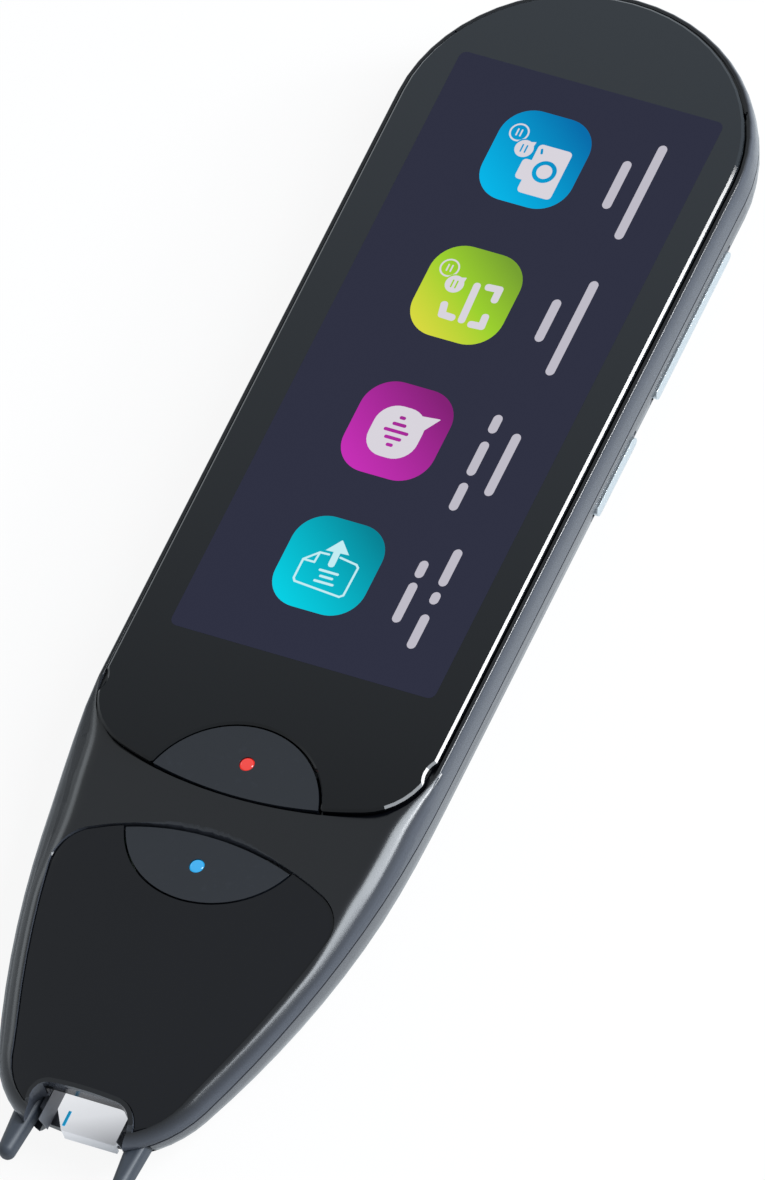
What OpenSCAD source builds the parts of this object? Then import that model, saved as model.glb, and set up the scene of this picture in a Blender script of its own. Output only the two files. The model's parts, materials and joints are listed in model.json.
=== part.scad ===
// Handheld scanning translator with a touch screen, a lofted two-part housing and an open scanning tip.
// The pen lies on its back: +Y points to the top end, +Z out of the screen, Z = 0 is the flat back.

/* [Body] */
// Width of the body at its widest line
body_w = 45.2; // [44.8:0.1:48]
// Length of the body from its top end to the round of its nose
body_len = 160.7; // [158:0.1:172]
// Thickness of the body from the back to the glass
body_t = 12.5; // [12.3:0.1:13.5]
// Height of the line where the two housings part
part_z = 8.3; // [8.1:0.05:8.5]
// Length of the rounded top end
arch_len = 20.1; // [19:0.1:22]
// Radius of the sides where they taper to the nose
taper_r = 132; // [125:1:140]
// Radius of the round nose
nose_r = 14.5; // [14.2:0.1:15]
// Height of the widest line beside the glass
wide_z = 10.4; // [10:0.05:10.8]
// How far the sides are rounded in from the widest line to the flat back
back_round = 6; // [5.5:0.1:7]
// How far the back rises towards the tip
back_lift = 3.7; // [3:0.1:3.8]
// Depth of the shadow groove along the parting line
seam = 0.3; // [0.2:0.05:0.4]

/* [Walls] */
// Side wall of the rear housing, from the widest line in
wall = 1.5; // [1.3:0.05:1.7]
// Floor of the rear housing
floor_t = 1.3; // [1.1:0.05:1.4]

/* [Front rim and crown] */
// Width of the rim's rounding beside the glass
rim_in = 0.45; // [0.3:0.05:0.6]
// How far the rim lies below the glass
rim_drop = 0.6; // [0.4:0.05:0.8]
// Width of the rounding beside the nose panel
nose_rim_in = 2.3; // [2:0.1:2.6]
// How much narrower that rounding is at the tip
tip_rim_less = 0.8; // [0:0.1:1]
// How far the rim lies below the glass along the nose
nose_rim_drop = 2.7; // [2.4:0.05:2.8]
// How far the crest of the nose lies below the glass
crest_drop = 0.3; // [0.2:0.05:0.4]

/* [Glass and display] */
// Thickness of the cover glass
glass_t = 1; // [0.9:0.05:1.1]
// Distance from the widest line to the glass edge
glass_in = 1.05; // [1:0.05:1.2]
// Gap round the glass
glass_gap = 0.3; // [0.2:0.05:0.4]
// Radius of the glass edge that meets the band
glass_low_r = 51; // [45:0.5:60]
// Corner radius beside that edge
glass_corner_r = 8; // [7:0.1:9]
// Thickness of the adhesive under the glass
glue_t = 0.1; // [0.05:0.01:0.15]
// Distance from the widest line to the display module
display_side = 3.8; // [3.6:0.05:4.4]
// Distance from the top end down to the display module
display_top = 11.05; // [10.5:0.05:13]
// Thickness of the display module
display_t = 1.6; // [1.4:0.05:1.8]
// Clearance round the display module
display_gap = 0.5; // [0.3:0.05:0.7]
// Distance from the glass edge at the band up to the display
display_up = 16.2; // [15:0.1:18]

/* [Buttons] */
// Radius of the upper button's arch
upper_r = 11.5; // [11:0.1:12]
// Height of the upper button
upper_h = 9.4; // [9:0.1:10]
// Radius of the lower button's bowl
lower_r = 11.8; // [11.4:0.1:12.2]
// Height of the lower button
lower_h = 9.05; // [8.6:0.05:9.6]
// Height of the band between the buttons
band_h = 5.5; // [5:0.1:6.5]
// Radius of the band's lower edge
band_low_r = 42.7; // [40:0.5:48]
// Gap round each button
button_gap = 0.25; // [0.2:0.01:0.3]
// Travel of each button
button_travel = 0.35; // [0.25:0.01:0.4]
// Radius of the light dots
dot_r = 0.9; // [0.7:0.05:1.1]
// Length of the nose panel from the band to its bevel strip
panel_len = 35; // [33:0.1:37]
// Thickness of the nose panel
panel_t = 0.8; // [0.6:0.05:0.9]
// How far the nose panel and the lower button lie below the band
panel_drop = 0.3; // [0.2:0.05:0.4]
// Gap round the nose panel
panel_gap = 0.12; // [0.08:0.01:0.2]
// Corner radius of the nose panel
panel_corner_r = 4.5; // [4:0.1:5]

/* [Scanning tip] */
// Distance from the nose round to the edge of the front notch
notch_up = 5.75; // [5.3:0.05:6.2]
// Half of the front notch's width
notch_half = 6.4; // [6.2:0.05:6.6]
// Corner radius of the front notch
notch_r = 2; // [1.5:0.1:2.5]
// Width of the bevel strip between panel and notch
notch_lip = 0.7; // [0.5:0.05:0.9]
// Half of the scanning chamber's width
chamber_half = 5.1; // [5:0.05:5.2]
// Length of the chamber behind the floor's edge
chamber_len = 8; // [7:0.1:9]
// Distance from the nose round to the edge of the chamber floor
floor_up = 3.95; // [3.6:0.05:4.3]
// Height of the chamber floor
chamber_z = 4.45; // [4.4:0.05:4.6]
// Thickness of the diffuser
diffuser_t = 0.55; // [0.4:0.05:0.7]
// Distance from the axis to the middle of each guide foot
foot_x = 7.3; // [7.2:0.05:7.4]
// Width of each foot at its root
foot_w = 3.1; // [2.8:0.05:3.2]
// Width of each foot at its end
foot_end_w = 2; // [1.6:0.05:2.2]
// How far the feet stand out past the nose round
foot_out = 2.85; // [2.4:0.05:3.6]
// Thickness of the feet
foot_t = 2.5; // [2.2:0.05:2.6]
// Travel of the feet when the tip is pressed on a page
foot_travel = 0.8; // [0.5:0.05:1]
// Sliding clearance round the feet
foot_gap = 0.2; // [0.15:0.01:0.25]

/* [Side keys] */
// Length of the volume key
volume_len = 20.8; // [18:0.1:22]
// Length of the power key
power_len = 10.9; // [9:0.1:12]
// Distance from the top end to the middle of the volume key
volume_down = 35.85; // [34:0.1:38]
// Distance from the top end to the middle of the power key
power_down = 57.4; // [56:0.1:59]
// Height of the key faces
key_h = 1.4; // [1.2:0.05:1.6]
// Radius of the keys' convex faces
key_face_r = 3; // [2.5:0.1:6]
// Height of the middle of the keys above the back
key_z = 5.2; // [5:0.05:5.4]
// How far the key faces lie inside the widest line; the side curves in further beside them
key_in = 0.3; // [0.2:0.05:0.4]
// Gap round the keys
key_gap = 0.22; // [0.15:0.01:0.3]
// Travel of the power key
power_travel = 0.3; // [0.2:0.01:0.35]
// Swing of the volume key to each side, in degrees
volume_swing = 1.2; // [0.8:0.1:1.3]

/* [Inside] */
// Distance from the widest line to the battery
battery_side = 7.1; // [6.9:0.1:9]
// Thickness of the battery
battery_t = 4.8; // [4:0.1:5.2]
// Thickness of the main board
board_t = 0.8; // [0.6:0.05:0.9]
// Thickness of the button board
button_board_t = 0.6; // [0.5:0.05:0.7]
// Distance from the widest line to the main board
board_side = 4.8; // [4.6:0.05:6]
// Length of the main board below the arch
board_len = 40; // [37:0.5:46]
// Thickness of the chassis plate
plate_t = 0.4; // [0.3:0.05:0.5]
// Radius of the screws
screw_r = 0.7; // [0.6:0.05:0.8]
// Radius of the charging port's shell
port_r = 1.63; // [1.6:0.01:1.65]
// Width of the charging port's shell
port_w = 8.94; // [8.9:0.01:9]

/* [Hidden] */
$fn = 48;
wide_fn = 96;        // finer circles for the buttons
band_fn = 160;       // and for the long curves of glass and band

over = 0.5;          // how far a cutting solid runs past what it cuts
flat_trim = 0.2;     // depth that the exact back plane trims off the lofted skin
play = 0.05;         // fit between pieces that stay together
hair = 0.02;         // least clearance between pieces that only meet

// Places along the pen, each from the one before it
half_w = body_w / 2;
top_y = body_len / 2;
tip_y = -body_len / 2;
shoulder_y = top_y - arch_len;
nose_mid_y = tip_y + nose_r;
taper_mid_x = half_w - taper_r;
waist_y = nose_mid_y + sqrt(pow(taper_r - nose_r, 2) - pow(taper_mid_x, 2));
notch_y = tip_y + notch_up;
floor_y = tip_y + floor_up;
chamber_y = floor_y + chamber_len;
band_low_y = notch_y + notch_lip + panel_len;
glass_low_y = band_low_y + band_h;
red_up = 4.35;       // light dots, from the button edges at the band
blue_down = 4.2;
red_dot_y = glass_low_y + red_up;
blue_dot_y = band_low_y - blue_down;
dots_mid_y = (red_dot_y + blue_dot_y) / 2;
lift_down = 1;       // the back starts to rise this far below the band
lift_y = band_low_y - lift_down;
band_mid = [0, band_low_y - band_low_r];
lower_mid = [0, band_low_y - lower_h + lower_r];
glass_mid = [0, glass_low_y + glass_low_r];
upper_mid = [0, glass_low_y + upper_h - upper_r];

// Heights
glass_z = body_t - glass_t;
ledge_z = glass_z - glue_t;
rim_z = body_t - rim_drop;
nose_rim_z = body_t - nose_rim_drop;
crest_z = body_t - crest_drop;
flange_t = 0.5;      // flanges that keep the buttons in
flange_up = 0.9;
flange_z = part_z + flange_up;
lip_z = flange_z + flange_t + play;
dome_t = flange_up - button_travel - play;
plate_z = part_z - plate_t;
spacer_t = 0.4;
board_z = plate_z - spacer_t - board_t;
board_top = board_z + board_t;
tape_t = 0.15;
battery_z = floor_t + tape_t;
foot_top = part_z - 0.1;
foot_z = foot_top - foot_t;
port_z = board_z - port_r;

// Display, button board and plate
display_w = body_w - 2 * display_side;
display_y = glass_low_y + display_up;
display_len = top_y - display_top - display_y;
button_board_w = 27;
button_board_len = 26;
plate_gap = 0.7;     // between button board and plate
plate_low_y = dots_mid_y + button_board_len / 2 + plate_gap;

// Speaker, battery and main board follow one another from the nose to the arch
speaker_w = 20;
speaker_len = 13;
speaker_t = 3.2;
speaker_up = 8;
speaker_y = lift_y + speaker_up;
rib_t = 1;
rib_h = 2.5;
rib_gap = 0.3;
board_low_y = shoulder_y - board_len;
battery_under = 1.85; // how far the battery runs below the board's edge
battery_w = body_w - 2 * battery_side;
battery_y = speaker_y + speaker_len / 2 + rib_t + 2 * rib_gap;
battery_end_y = board_low_y + battery_under;
battery_len = battery_end_y - battery_y;
battery_mid_y = (battery_y + battery_end_y) / 2;
board_half = half_w - board_side;
flex_y = board_low_y + 4;

// Fixing places: screws through plate and board, and two more beside the battery
boss_r = 1.9;
head_r = 1.3;
head_t = 0.45;
head_play = 0.2;
screw_in = 2.8;      // from the board's edge
screw_up = 8;        // from the board's low edge
screw_down = 4;      // from the arch
board_screws = [for (x = [-1, 1], y = [board_low_y + screw_up, shoulder_y - screw_down])
    [x * (board_half - screw_in), y]];
plate_screws = [for (x = [-1, 1]) [x * (half_w - wall - boss_r - head_play), plate_low_y + boss_r + 1.6]];

// Side keys
volume_y = top_y - volume_down;
power_y = top_y - power_down;
key_wall_t = 1.9;    // wall that the key flanges bear on
key_flange_t = 0.55;
key_flange_gap = 0.3;
key_wall_x = half_w - key_wall_t;
key_flange_x = key_wall_x - key_flange_gap - key_flange_t;
key_flange_more = 0.9;
key_flange_rise = 0.35;
switch_t = 0.6;
switch_half = 7;     // the volume switches lie this far from the rocker's pivot
switch_x = key_flange_x - power_travel - 0.06 - switch_t;

// Camera, microphone and scanning head
window_r = 4.1;
window_t = 1.2;
camera_up = 4;
camera_y = shoulder_y + camera_up;
ring_w = 1.2;
ring_t = 0.65;
mic_x = 8;
eye_up = 1.55;
eye_z = chamber_z + eye_up;
lens_r = 1.25;
bezel_t = 0.8;
lamp_x = 3.8;
lamp_w = 1.5;
mark_x = -3.45;
mark_w = 0.35;
mark_len = 2;
mark_up = 1.1;
yoke_len = 2;
yoke_t = 0.7;
yoke_gap = 0.5;
yoke_y = chamber_y + yoke_gap + foot_gap;
yoke_z = foot_top - yoke_t;

function smooth(from, to, v) =
    let (t = max(0, min(1, (v - from) / (to - from)))) t * t * (3 - 2 * t);
function unit(v) = v / norm(v);
function angle_of(v) = atan2(v.y, v.x);
function arc(mid, r, from, to, steps) =
    [for (i = [0:steps]) let (a = from + (to - from) * i / steps) mid + r * [cos(a), sin(a)]];
function mirrored(right) = [for (i = [len(right) - 1:-1:1]) [-right[i].x, right[i].y]];
// Middle of a corner circle that touches two larger circles from inside, on their right
function corner_mid(a, ra, b, rb, r) =
    let (d = norm(b - a), u = (b - a) / d,
         along = (pow(ra - r, 2) - pow(rb - r, 2) + d * d) / (2 * d),
         side = sqrt(pow(ra - r, 2) - along * along))
    a + along * u + side * [u.y, -u.x];

// The widest outline: right half as [place, outward normal], from the top end to the tip
arch_steps = 14;
taper_steps = 12;
nose_steps = 10;
corner_steps = 8;
taper_end = acos((-taper_mid_x) / (taper_r - nose_r));
right_edge = concat(
    [for (i = [0:arch_steps]) let (a = 90 - 90 * i / arch_steps)
        [[half_w * cos(a), shoulder_y + arch_len * sin(a)], unit([cos(a) / half_w, sin(a) / arch_len])]],
    [for (i = [0:taper_steps]) let (a = -taper_end * i / taper_steps)
        [[taper_mid_x, waist_y] + taper_r * [cos(a), sin(a)], [cos(a), sin(a)]]],
    [for (i = [1:nose_steps]) let (a = -taper_end - (90 - taper_end) * i / nose_steps)
        [[0, nose_mid_y] + nose_r * [cos(a), sin(a)], [cos(a), sin(a)]]]
);
last = len(right_edge) - 1;
left_edge = [for (i = [last - 1:-1:1]) let (s = right_edge[i]) [[-s[0].x, s[0].y], [-s[1].x, s[1].y]]];
edge = concat(right_edge, left_edge);

// A closed loop inset from the widest line; inset and height are functions of the place along the pen
function loop(inset, height, squeeze = 1) =
    [for (s = edge) let (p = s[0] - inset(s[0].y) * s[1]) [p.x * squeeze, p.y, height(p.y)]];
function outline(inset) = [for (s = edge) s[0] - inset * s[1]];

// Nose share: 0 beside the glass, 1 from the nose panel on
nose_run = 19;
tip_run = 3;
crest_run = 2;
function nose_share(y) = smooth(waist_y, waist_y - nose_run, y);
function rim_inset(y) = rim_in + (nose_rim_in - rim_in) * nose_share(y)
    - tip_rim_less * smooth(nose_mid_y - tip_run, tip_y + tip_run, y);
function rim_height(y) = rim_z + (nose_rim_z - rim_z) * nose_share(y);
// Height of the widest line: lower along the nose, halfway up to the seat of the nose panel
nose_wide_z = (part_z + nose_rim_z - panel_drop - panel_t) / 2;
function wide_height(y) = wide_z + (nose_wide_z - wide_z) * nose_share(y);
function crest_height(y) =
    rim_z + (crest_z - rim_z) * smooth(waist_y + crest_run, glass_low_y + crest_run, y);
function back_height(y) = back_lift * pow(max(0, lift_y - y) / (lift_y - tip_y), 2);
// The sides curve in under the widest line: depth below it, angle on the curve, and inset at an angle
function side_depth(y) = wide_height(y) + flat_trim - back_height(y);
function side_angle(y, z) = asin((wide_height(y) - z) / side_depth(y));
function side_inset(a) = back_round * (1 - cos(a));

// Closed skin over stacked loops, lowest first, with both ends closed by strips across the pen
module skin(loops) {
    count = len(loops[0]);
    half = count / 2;
    top = count * (len(loops) - 1);
    polyhedron(
        points = [for (l = loops) each l],
        faces = concat(
            [for (k = [0:len(loops) - 2], i = [0:count - 1]) let (j = (i + 1) % count, b = k * count)
                each [[b + i, b + j, b + count + j], [b + i, b + count + j, b + count + i]]],
            [for (i = [1:half - 2]) each [[count - i, count - i - 1, i + 1], [count - i, i + 1, i]]],
            [[count - 1, 1, 0], [half + 1, half, half - 1]],
            [for (i = [1:half - 2])
                each [[top + i, top + i + 1, top + count - i - 1],
                    [top + i, top + count - i - 1, top + count - i]]],
            [[top, top + 1, top + count - 1], [top + half - 1, top + half, top + half + 1]]
        )
    );
}

// The front form: side, rounded rim and crowned nose, lowered by drop
lean_steps = 2;
rim_steps = 5;
crown_steps = 5;
crown_flat = 0.1;    // share of the width left flat along the middle
module front_form(drop = 0) {
    skin(concat(
        [for (i = [0:lean_steps - 1]) let (f = 1 - i / lean_steps)
            loop(function (y) side_inset(side_angle(y, part_z) * f),
                 function (y) wide_height(y) - side_depth(y) * sin(side_angle(y, part_z) * f))],
        [for (i = [0:rim_steps]) let (a = 90 * i / rim_steps)
            loop(function (y) rim_inset(y) * (1 - cos(a)),
                 function (y) wide_height(y) + (rim_height(y) - drop - wide_height(y)) * sin(a))],
        [for (i = [1:crown_steps]) let (f = 1 - (1 - crown_flat) * i / crown_steps)
            loop(function (y) rim_inset(y),
                 function (y) rim_height(y) - drop + (crest_height(y) - rim_height(y)) * (1 - f * f), f)]
    ));
}

// The rear form: rounded sides and lifted nose, with a shadow groove under the parting line
back_steps = 7;
module rear_form() {
    top_z = part_z - seam;
    skin(concat(
        [for (i = [back_steps:-1:0]) let (f = i / back_steps)
            loop(function (y) side_inset(90 * f + side_angle(y, top_z) * (1 - f)),
                 function (y) wide_height(y)
                     - side_depth(y) * sin(90 * f + side_angle(y, top_z) * (1 - f)))],
        [for (z = [top_z, part_z])
            loop(function (y) side_inset(side_angle(y, top_z)) + seam, function (y) z)]
    ));
}
// Its hollow, open past the parting line
module rear_hollow() {
    skin(concat(
        [for (i = [back_steps:-1:0]) let (a = 90 * i / back_steps)
            loop(function (y) wall + (back_round - wall) * (1 - cos(a)),
                 function (y) part_z - (part_z - floor_t - back_height(y)) * sin(a))],
        [loop(function (y) wall, function (y) part_z + over)]
    ));
}

// Glass outline: the body's outline inset, with a rounded end at the band
function glass_outline(inset) =
    let (in = glass_in + inset,
         r = glass_corner_r - inset,
         x = half_w - glass_in - glass_corner_r,
         y = glass_mid.y - sqrt(pow(glass_low_r - glass_corner_r, 2) - x * x),
         turn = angle_of([x, y] - glass_mid),
         right = concat(
            [for (i = [0:arch_steps]) right_edge[i][0] - in * right_edge[i][1]],
            arc([x, y], r, 0, turn, corner_steps),
            [for (i = [1:corner_steps]) let (a = turn + (-90 - turn) * i / (corner_steps + 1))
                glass_mid + (glass_low_r - inset) * [cos(a), sin(a)]]))
    concat(right, [glass_mid - [0, glass_low_r - inset]], mirrored(right));

module glass_shape(inset = 0) {
    nick_in = 0.6;       // depth and radius of the locating nicks in the glass sides
    nick_r = 2.7;
    nick_down = 0.9;
    difference() {
        polygon(glass_outline(inset));
        translate(upper_mid) circle(upper_r - inset, $fn = wide_fn);
        for (s = [-1, 1])
            translate([s * (half_w - glass_in - inset + nick_r - nick_in), waist_y - nick_down])
                circle(nick_r);
    }
}

// Upper button: an arch over the glass edge; lower button: a bowl under the band
module upper_shape(grow = 0) {
    intersection() {
        translate(upper_mid) circle(upper_r - button_gap + grow, $fn = wide_fn);
        translate(glass_mid) circle(glass_low_r + grow, $fn = band_fn);
    }
}
module lower_bowl(grow = 0) {
    translate(lower_mid) circle(lower_r - button_gap + grow, $fn = wide_fn);
}
module lower_shape(grow = 0) {
    intersection() {
        translate(band_mid) circle(band_low_r - button_gap + grow, $fn = band_fn);
        lower_bowl(grow);
    }
}

// Nose panel outline: the band's edge, two round corners and the sides down to the notch
module panel_shape(grow = 0) {
    overlap = 3;         // degrees that the corner arc starts early
    side_mid = [taper_mid_x, waist_y];
    c = corner_mid(band_mid, band_low_r, side_mid, taper_r - nose_rim_in, panel_corner_r);
    sides = [for (s = right_edge) let (p = s[0] - (rim_inset(s[0].y) - grow) * s[1])
        if (p.y < c.y - 1 && p.x > 0) p];
    right = concat(
        arc(band_mid, band_low_r + grow, 90, angle_of(c - band_mid), corner_steps),
        arc(c, panel_corner_r + grow, angle_of(c - band_mid) - overlap, angle_of(c - side_mid), corner_steps),
        sides);
    difference() {
        polygon(concat(right, mirrored(right)));
        notch_cut(notch_lip - grow);
    }
}
// The notch in the tip, open towards the page
module notch_cut(grow = 0) {
    half = notch_half + grow;
    r = notch_r + grow;
    edge_y = notch_y + grow;
    for (s = [-1, 1]) translate([s * (half - r), edge_y - r]) circle(r);
    around(0, edge_y - r, 2 * (half - r), 2 * r);
    translate([-half, tip_y - over]) square([2 * half, edge_y - r - tip_y + over]);
}

module around(x, y, w, l) { translate([x - w / 2, y - l / 2]) square([w, l]); }
module slab(z, t) { translate([0, 0, z]) linear_extrude(t) children(); }
module box(x, y, z) {
    translate([x[0], y[0], z[0]]) cube([x[1] - x[0], y[1] - y[0], z[1] - z[0]]);
}
// A stadium standing upright in the side wall, from x over the depth outwards
module upright(x, y, len, h, depth) {
    translate([x, y, key_z]) rotate([90, 0, 90]) linear_extrude(depth) {
        square([len - h, h], center = true);
        for (s = [-1, 1]) translate([s * (len - h) / 2, 0]) circle(h / 2);
    }
}
module display_room(grow = 0) {
    around(0, display_y + display_len / 2, display_w + 2 * grow, display_len + 2 * grow);
}
module towards_top(x, y, z) { translate([x, y, z]) rotate([-90, 0, 0]) children(); }

// ---------------------------------------------------------------- housings
flange_half = 7.6;   // half width of the button flanges
flange_grow = 0.75;
pocket_grow = 0.9;   // room round the flanges
module front_frame() {
    roof_t = 1.1;        // over the chamber, under the nose panel
    chamber_top = crest_z - panel_drop - panel_t - roof_t;
    bevel_h = 0.7;       // bevel along the band's lower edge
    bevel_out = 1.2;
    mouth_slope = 35;
    mouth_drop = 1.3;
    mouth_cut = 4;
    color("#33373d") difference() {
        front_form();
        // seat of the glass, and the window for the display
        slab(ledge_z, body_t) polygon(glass_outline(-glass_gap));
        slab(part_z - over, body_t) display_room(display_gap);
        // buttons: openings and the pockets that keep their flanges in
        slab(part_z - over, body_t) {
            upper_shape(button_gap);
            lower_shape(button_gap);
        }
        slab(part_z - over, lip_z - part_z + over) intersection() {
            union() {
                upper_shape(pocket_grow + button_gap);
                lower_shape(pocket_grow + button_gap);
            }
            around(0, band_low_y, 2 * (flange_half + pocket_grow), 4 * lower_r);
        }
        for (p = plate_screws) translate([p.x, p.y, part_z - over])
            cylinder(h = over + head_t + head_play, r = head_r + head_play);
        // seat of the nose panel
        difference() {
            slab(part_z + seam, body_t) panel_shape(panel_gap);
            front_form(panel_drop + panel_t);
        }
        // bevel along the band's lower edge
        intersection() {
            translate([band_mid.x, band_mid.y, crest_z - bevel_h])
                cylinder(h = bevel_h + play, r1 = band_low_r - play,
                    r2 = band_low_r + bevel_out * bevel_h, $fn = band_fn);
            box([-lower_r + 1, lower_r - 1],
                [band_low_y - 2 * bevel_out, band_low_y + bevel_out], [part_z, body_t]);
        }
        // scanning tip: notch, chamber roof and the bevelled edge of the mouth
        slab(part_z - over, body_t) notch_cut();
        box([-chamber_half, chamber_half], [tip_y, chamber_y], [part_z - over, chamber_top]);
        translate([0, notch_y, crest_z - mouth_drop]) rotate([mouth_slope, 0, 0])
            translate([-notch_half + notch_r, -mouth_cut, 0])
                cube([2 * (notch_half - notch_r), mouth_cut, mouth_cut]);
    }
}

module port_shape(grow = 0) {
    hull() for (s = [-1, 1]) translate([s * (port_w / 2 - port_r), 0]) circle(port_r + grow);
}
port_len = 7.3;      // of the charging port's shell
port_in = 1.7;       // how deep its mouth lies below the top end
module key_seat(y, len) {
    room = 4;            // depth of the cuts into the side
    pocket_more = 1.4;
    pocket_rise = 0.8;
    scoop_depth = 1;
    upright(half_w - room, y, len + 2 * key_gap, key_h + 2 * key_gap, room + over);
    box([half_w - room, key_wall_x], [y - len / 2 - pocket_more, y + len / 2 + pocket_more],
        [key_z - key_h / 2 - pocket_rise, key_z + key_h / 2 + pocket_rise]);
    // scooped ends beside the key face
    upright(half_w - scoop_depth, y, len + key_h + 2 * key_gap, key_h + 2 * key_gap, scoop_depth + over);
}
module rear_housing() {
    ring_play = 0.05;
    slot_pitch = 2.6;    // speaker slots
    slot_w = 1;
    slot_len = 8;
    mic_r = 0.5;
    slot_half = foot_w / 2 + foot_gap;
    color("#7d828a") difference() {
        rear_form();
        // hollow, with the screw bosses and battery ribs left standing
        difference() {
            rear_hollow();
            for (p = board_screws) translate([p.x, p.y, 0]) cylinder(h = board_z, r = boss_r);
            for (p = plate_screws) translate([p.x, p.y, 0]) cylinder(h = plate_z, r = boss_r);
            for (y = [battery_y - rib_gap - rib_t, battery_end_y + rib_gap])
                box([-speaker_w * 0.6, speaker_w * 0.6], [y, y + rib_t], [0, floor_t + rib_h]);
            // solid nose round the chamber and the feet
            box([-half_w, half_w], [tip_y, chamber_y - 1], [0, body_t]);
        }
        box([-half_w, half_w], [tip_y - over, top_y + over], [-2, 0]);
        for (p = concat(board_screws, plate_screws))
            translate([p.x, p.y, floor_t + 1]) cylinder(h = body_t, r = screw_r + play);
        // scanning chamber, its open mouth and the guides of the feet
        box([-chamber_half, chamber_half], [tip_y - over, chamber_y], [chamber_z, body_t]);
        box([slot_half - hair - foot_x, foot_x - slot_half + hair], [tip_y - over, floor_y], [-over, body_t]);
        for (s = [0, 1]) mirror([s, 0, 0]) translate([foot_x, 0, 0])
            box([-slot_half, slot_half], [tip_y - over, chamber_y + over], [foot_z - foot_gap, body_t]);
        // charging port, camera window, speaker slots and microphone hole
        towards_top(0, top_y - port_in - port_len, port_z) linear_extrude(2 * port_len) port_shape(3 * play);
        translate([0, camera_y, -over]) cylinder(h = over + 2 * floor_t, r = window_r + ring_play);
        translate([0, camera_y, -over])
            cylinder(h = over + ring_t + tape_t, r = window_r + ring_w + ring_play);
        for (i = [-3:3]) slab(-over, floor_t + 2 * over) around(i * slot_pitch, speaker_y, slot_w, slot_len);
        towards_top(mic_x, top_y - 3, port_z) cylinder(h = 3 + over, r = mic_r);
        key_seat(volume_y, volume_len);
        key_seat(power_y, power_len);
    }
}

// ---------------------------------------------------------------- screen
module cover_glass() {
    color("#17191d") slab(glass_z, glass_t) glass_shape();
}
module glass_adhesive() {
    glue_in = 0.6;
    glue_round = 0.8;    // left free round the upper button
    color("#2c2c2c") slab(ledge_z, glue_t) difference() {
        polygon(glass_outline(glue_in));
        translate(upper_mid) circle(upper_r + glue_round, $fn = wide_fn);
        display_room(display_gap);
    }
}
module touch_display() {
    color("#32344a") slab(glass_z - display_t, display_t) display_room();
}
module chassis_plate() {
    edge_gap = 0.6;
    top_less = 9;        // left free for the charging port
    slot_w = 14;
    slot_len = 1.6;
    hole_r = 2.5;
    hole_x = 8;
    rows = 4;
    pitch = (flex_y - plate_low_y) / rows;
    color("#9aa0a6") slab(plate_z, plate_t) difference() {
        intersection() {
            polygon(outline(wall + edge_gap));
            translate([-half_w, plate_low_y]) square([body_w, top_y - top_less - plate_low_y]);
        }
        for (p = concat(board_screws, plate_screws)) translate(p) circle(screw_r + play);
        around(0, flex_y, slot_w, slot_len);
        for (x = [-hole_x, hole_x], i = [1:rows])
            translate([x, plate_low_y + (i - 0.5) * pitch]) circle(hole_r);
    }
}

// ---------------------------------------------------------------- nose
module nose_panel() {
    color("#1b1d22") difference() {
        intersection() {
            slab(part_z, body_t) panel_shape();
            front_form(panel_drop);
        }
        front_form(panel_drop + panel_t);
        slab(part_z, body_t) lower_bowl(button_gap);
    }
}
module button_flange(edge_y) {
    slab(flange_z, flange_t) intersection() {
        children();
        around(0, edge_y, 2 * flange_half, 4 * lower_r);
    }
}
module dot_hole(y) { translate([0, y, 0]) cylinder(h = body_t + over, r = dot_r + hair); }
module upper_button() {
    proud = 0.1;         // over the crest of the band
    color("#24272d") difference() {
        union() {
            slab(flange_z, crest_z + proud - flange_z) upper_shape();
            button_flange(glass_low_y) upper_shape(flange_grow);
        }
        dot_hole(red_dot_y);
    }
}
module lower_button() {
    color("#24272d") difference() {
        union() {
            intersection() {
                slab(flange_z, body_t) lower_shape();
                front_form(panel_drop);
            }
            button_flange(band_low_y) lower_shape(flange_grow);
        }
        dot_hole(blue_dot_y);
    }
}
module light_pipe(y, top_z) {
    pipe_z = flange_z - 0.1;
    translate([0, y, pipe_z]) cylinder(h = top_z - pipe_z, r = dot_r);
}
module red_light_pipe() { color("#ee3b30") light_pipe(red_dot_y, crest_z + 0.12); }
module blue_light_pipe() { color("#3cb8f0") light_pipe(blue_dot_y, crest_z - panel_drop + hair); }
module button_board() {
    color("#2f6b3f") slab(part_z - button_board_t, button_board_t)
        around(0, dots_mid_y, button_board_w, button_board_len);
}
module dome_switches() {
    dome_x = 5.2;
    dome_r = 2;
    crown_r = 1.4;
    color("#c9ccd0") for (x = [-dome_x, dome_x], y = [red_dot_y, blue_dot_y])
        translate([x, y, part_z]) cylinder(h = dome_t, r1 = dome_r, r2 = crown_r);
}
module indicator_leds() {
    led = [1.6, 0.8, 0.35];
    color("#f2f2ea") for (y = [red_dot_y, blue_dot_y]) slab(part_z, led.z) around(0, y, led.x, led.y);
}

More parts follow.
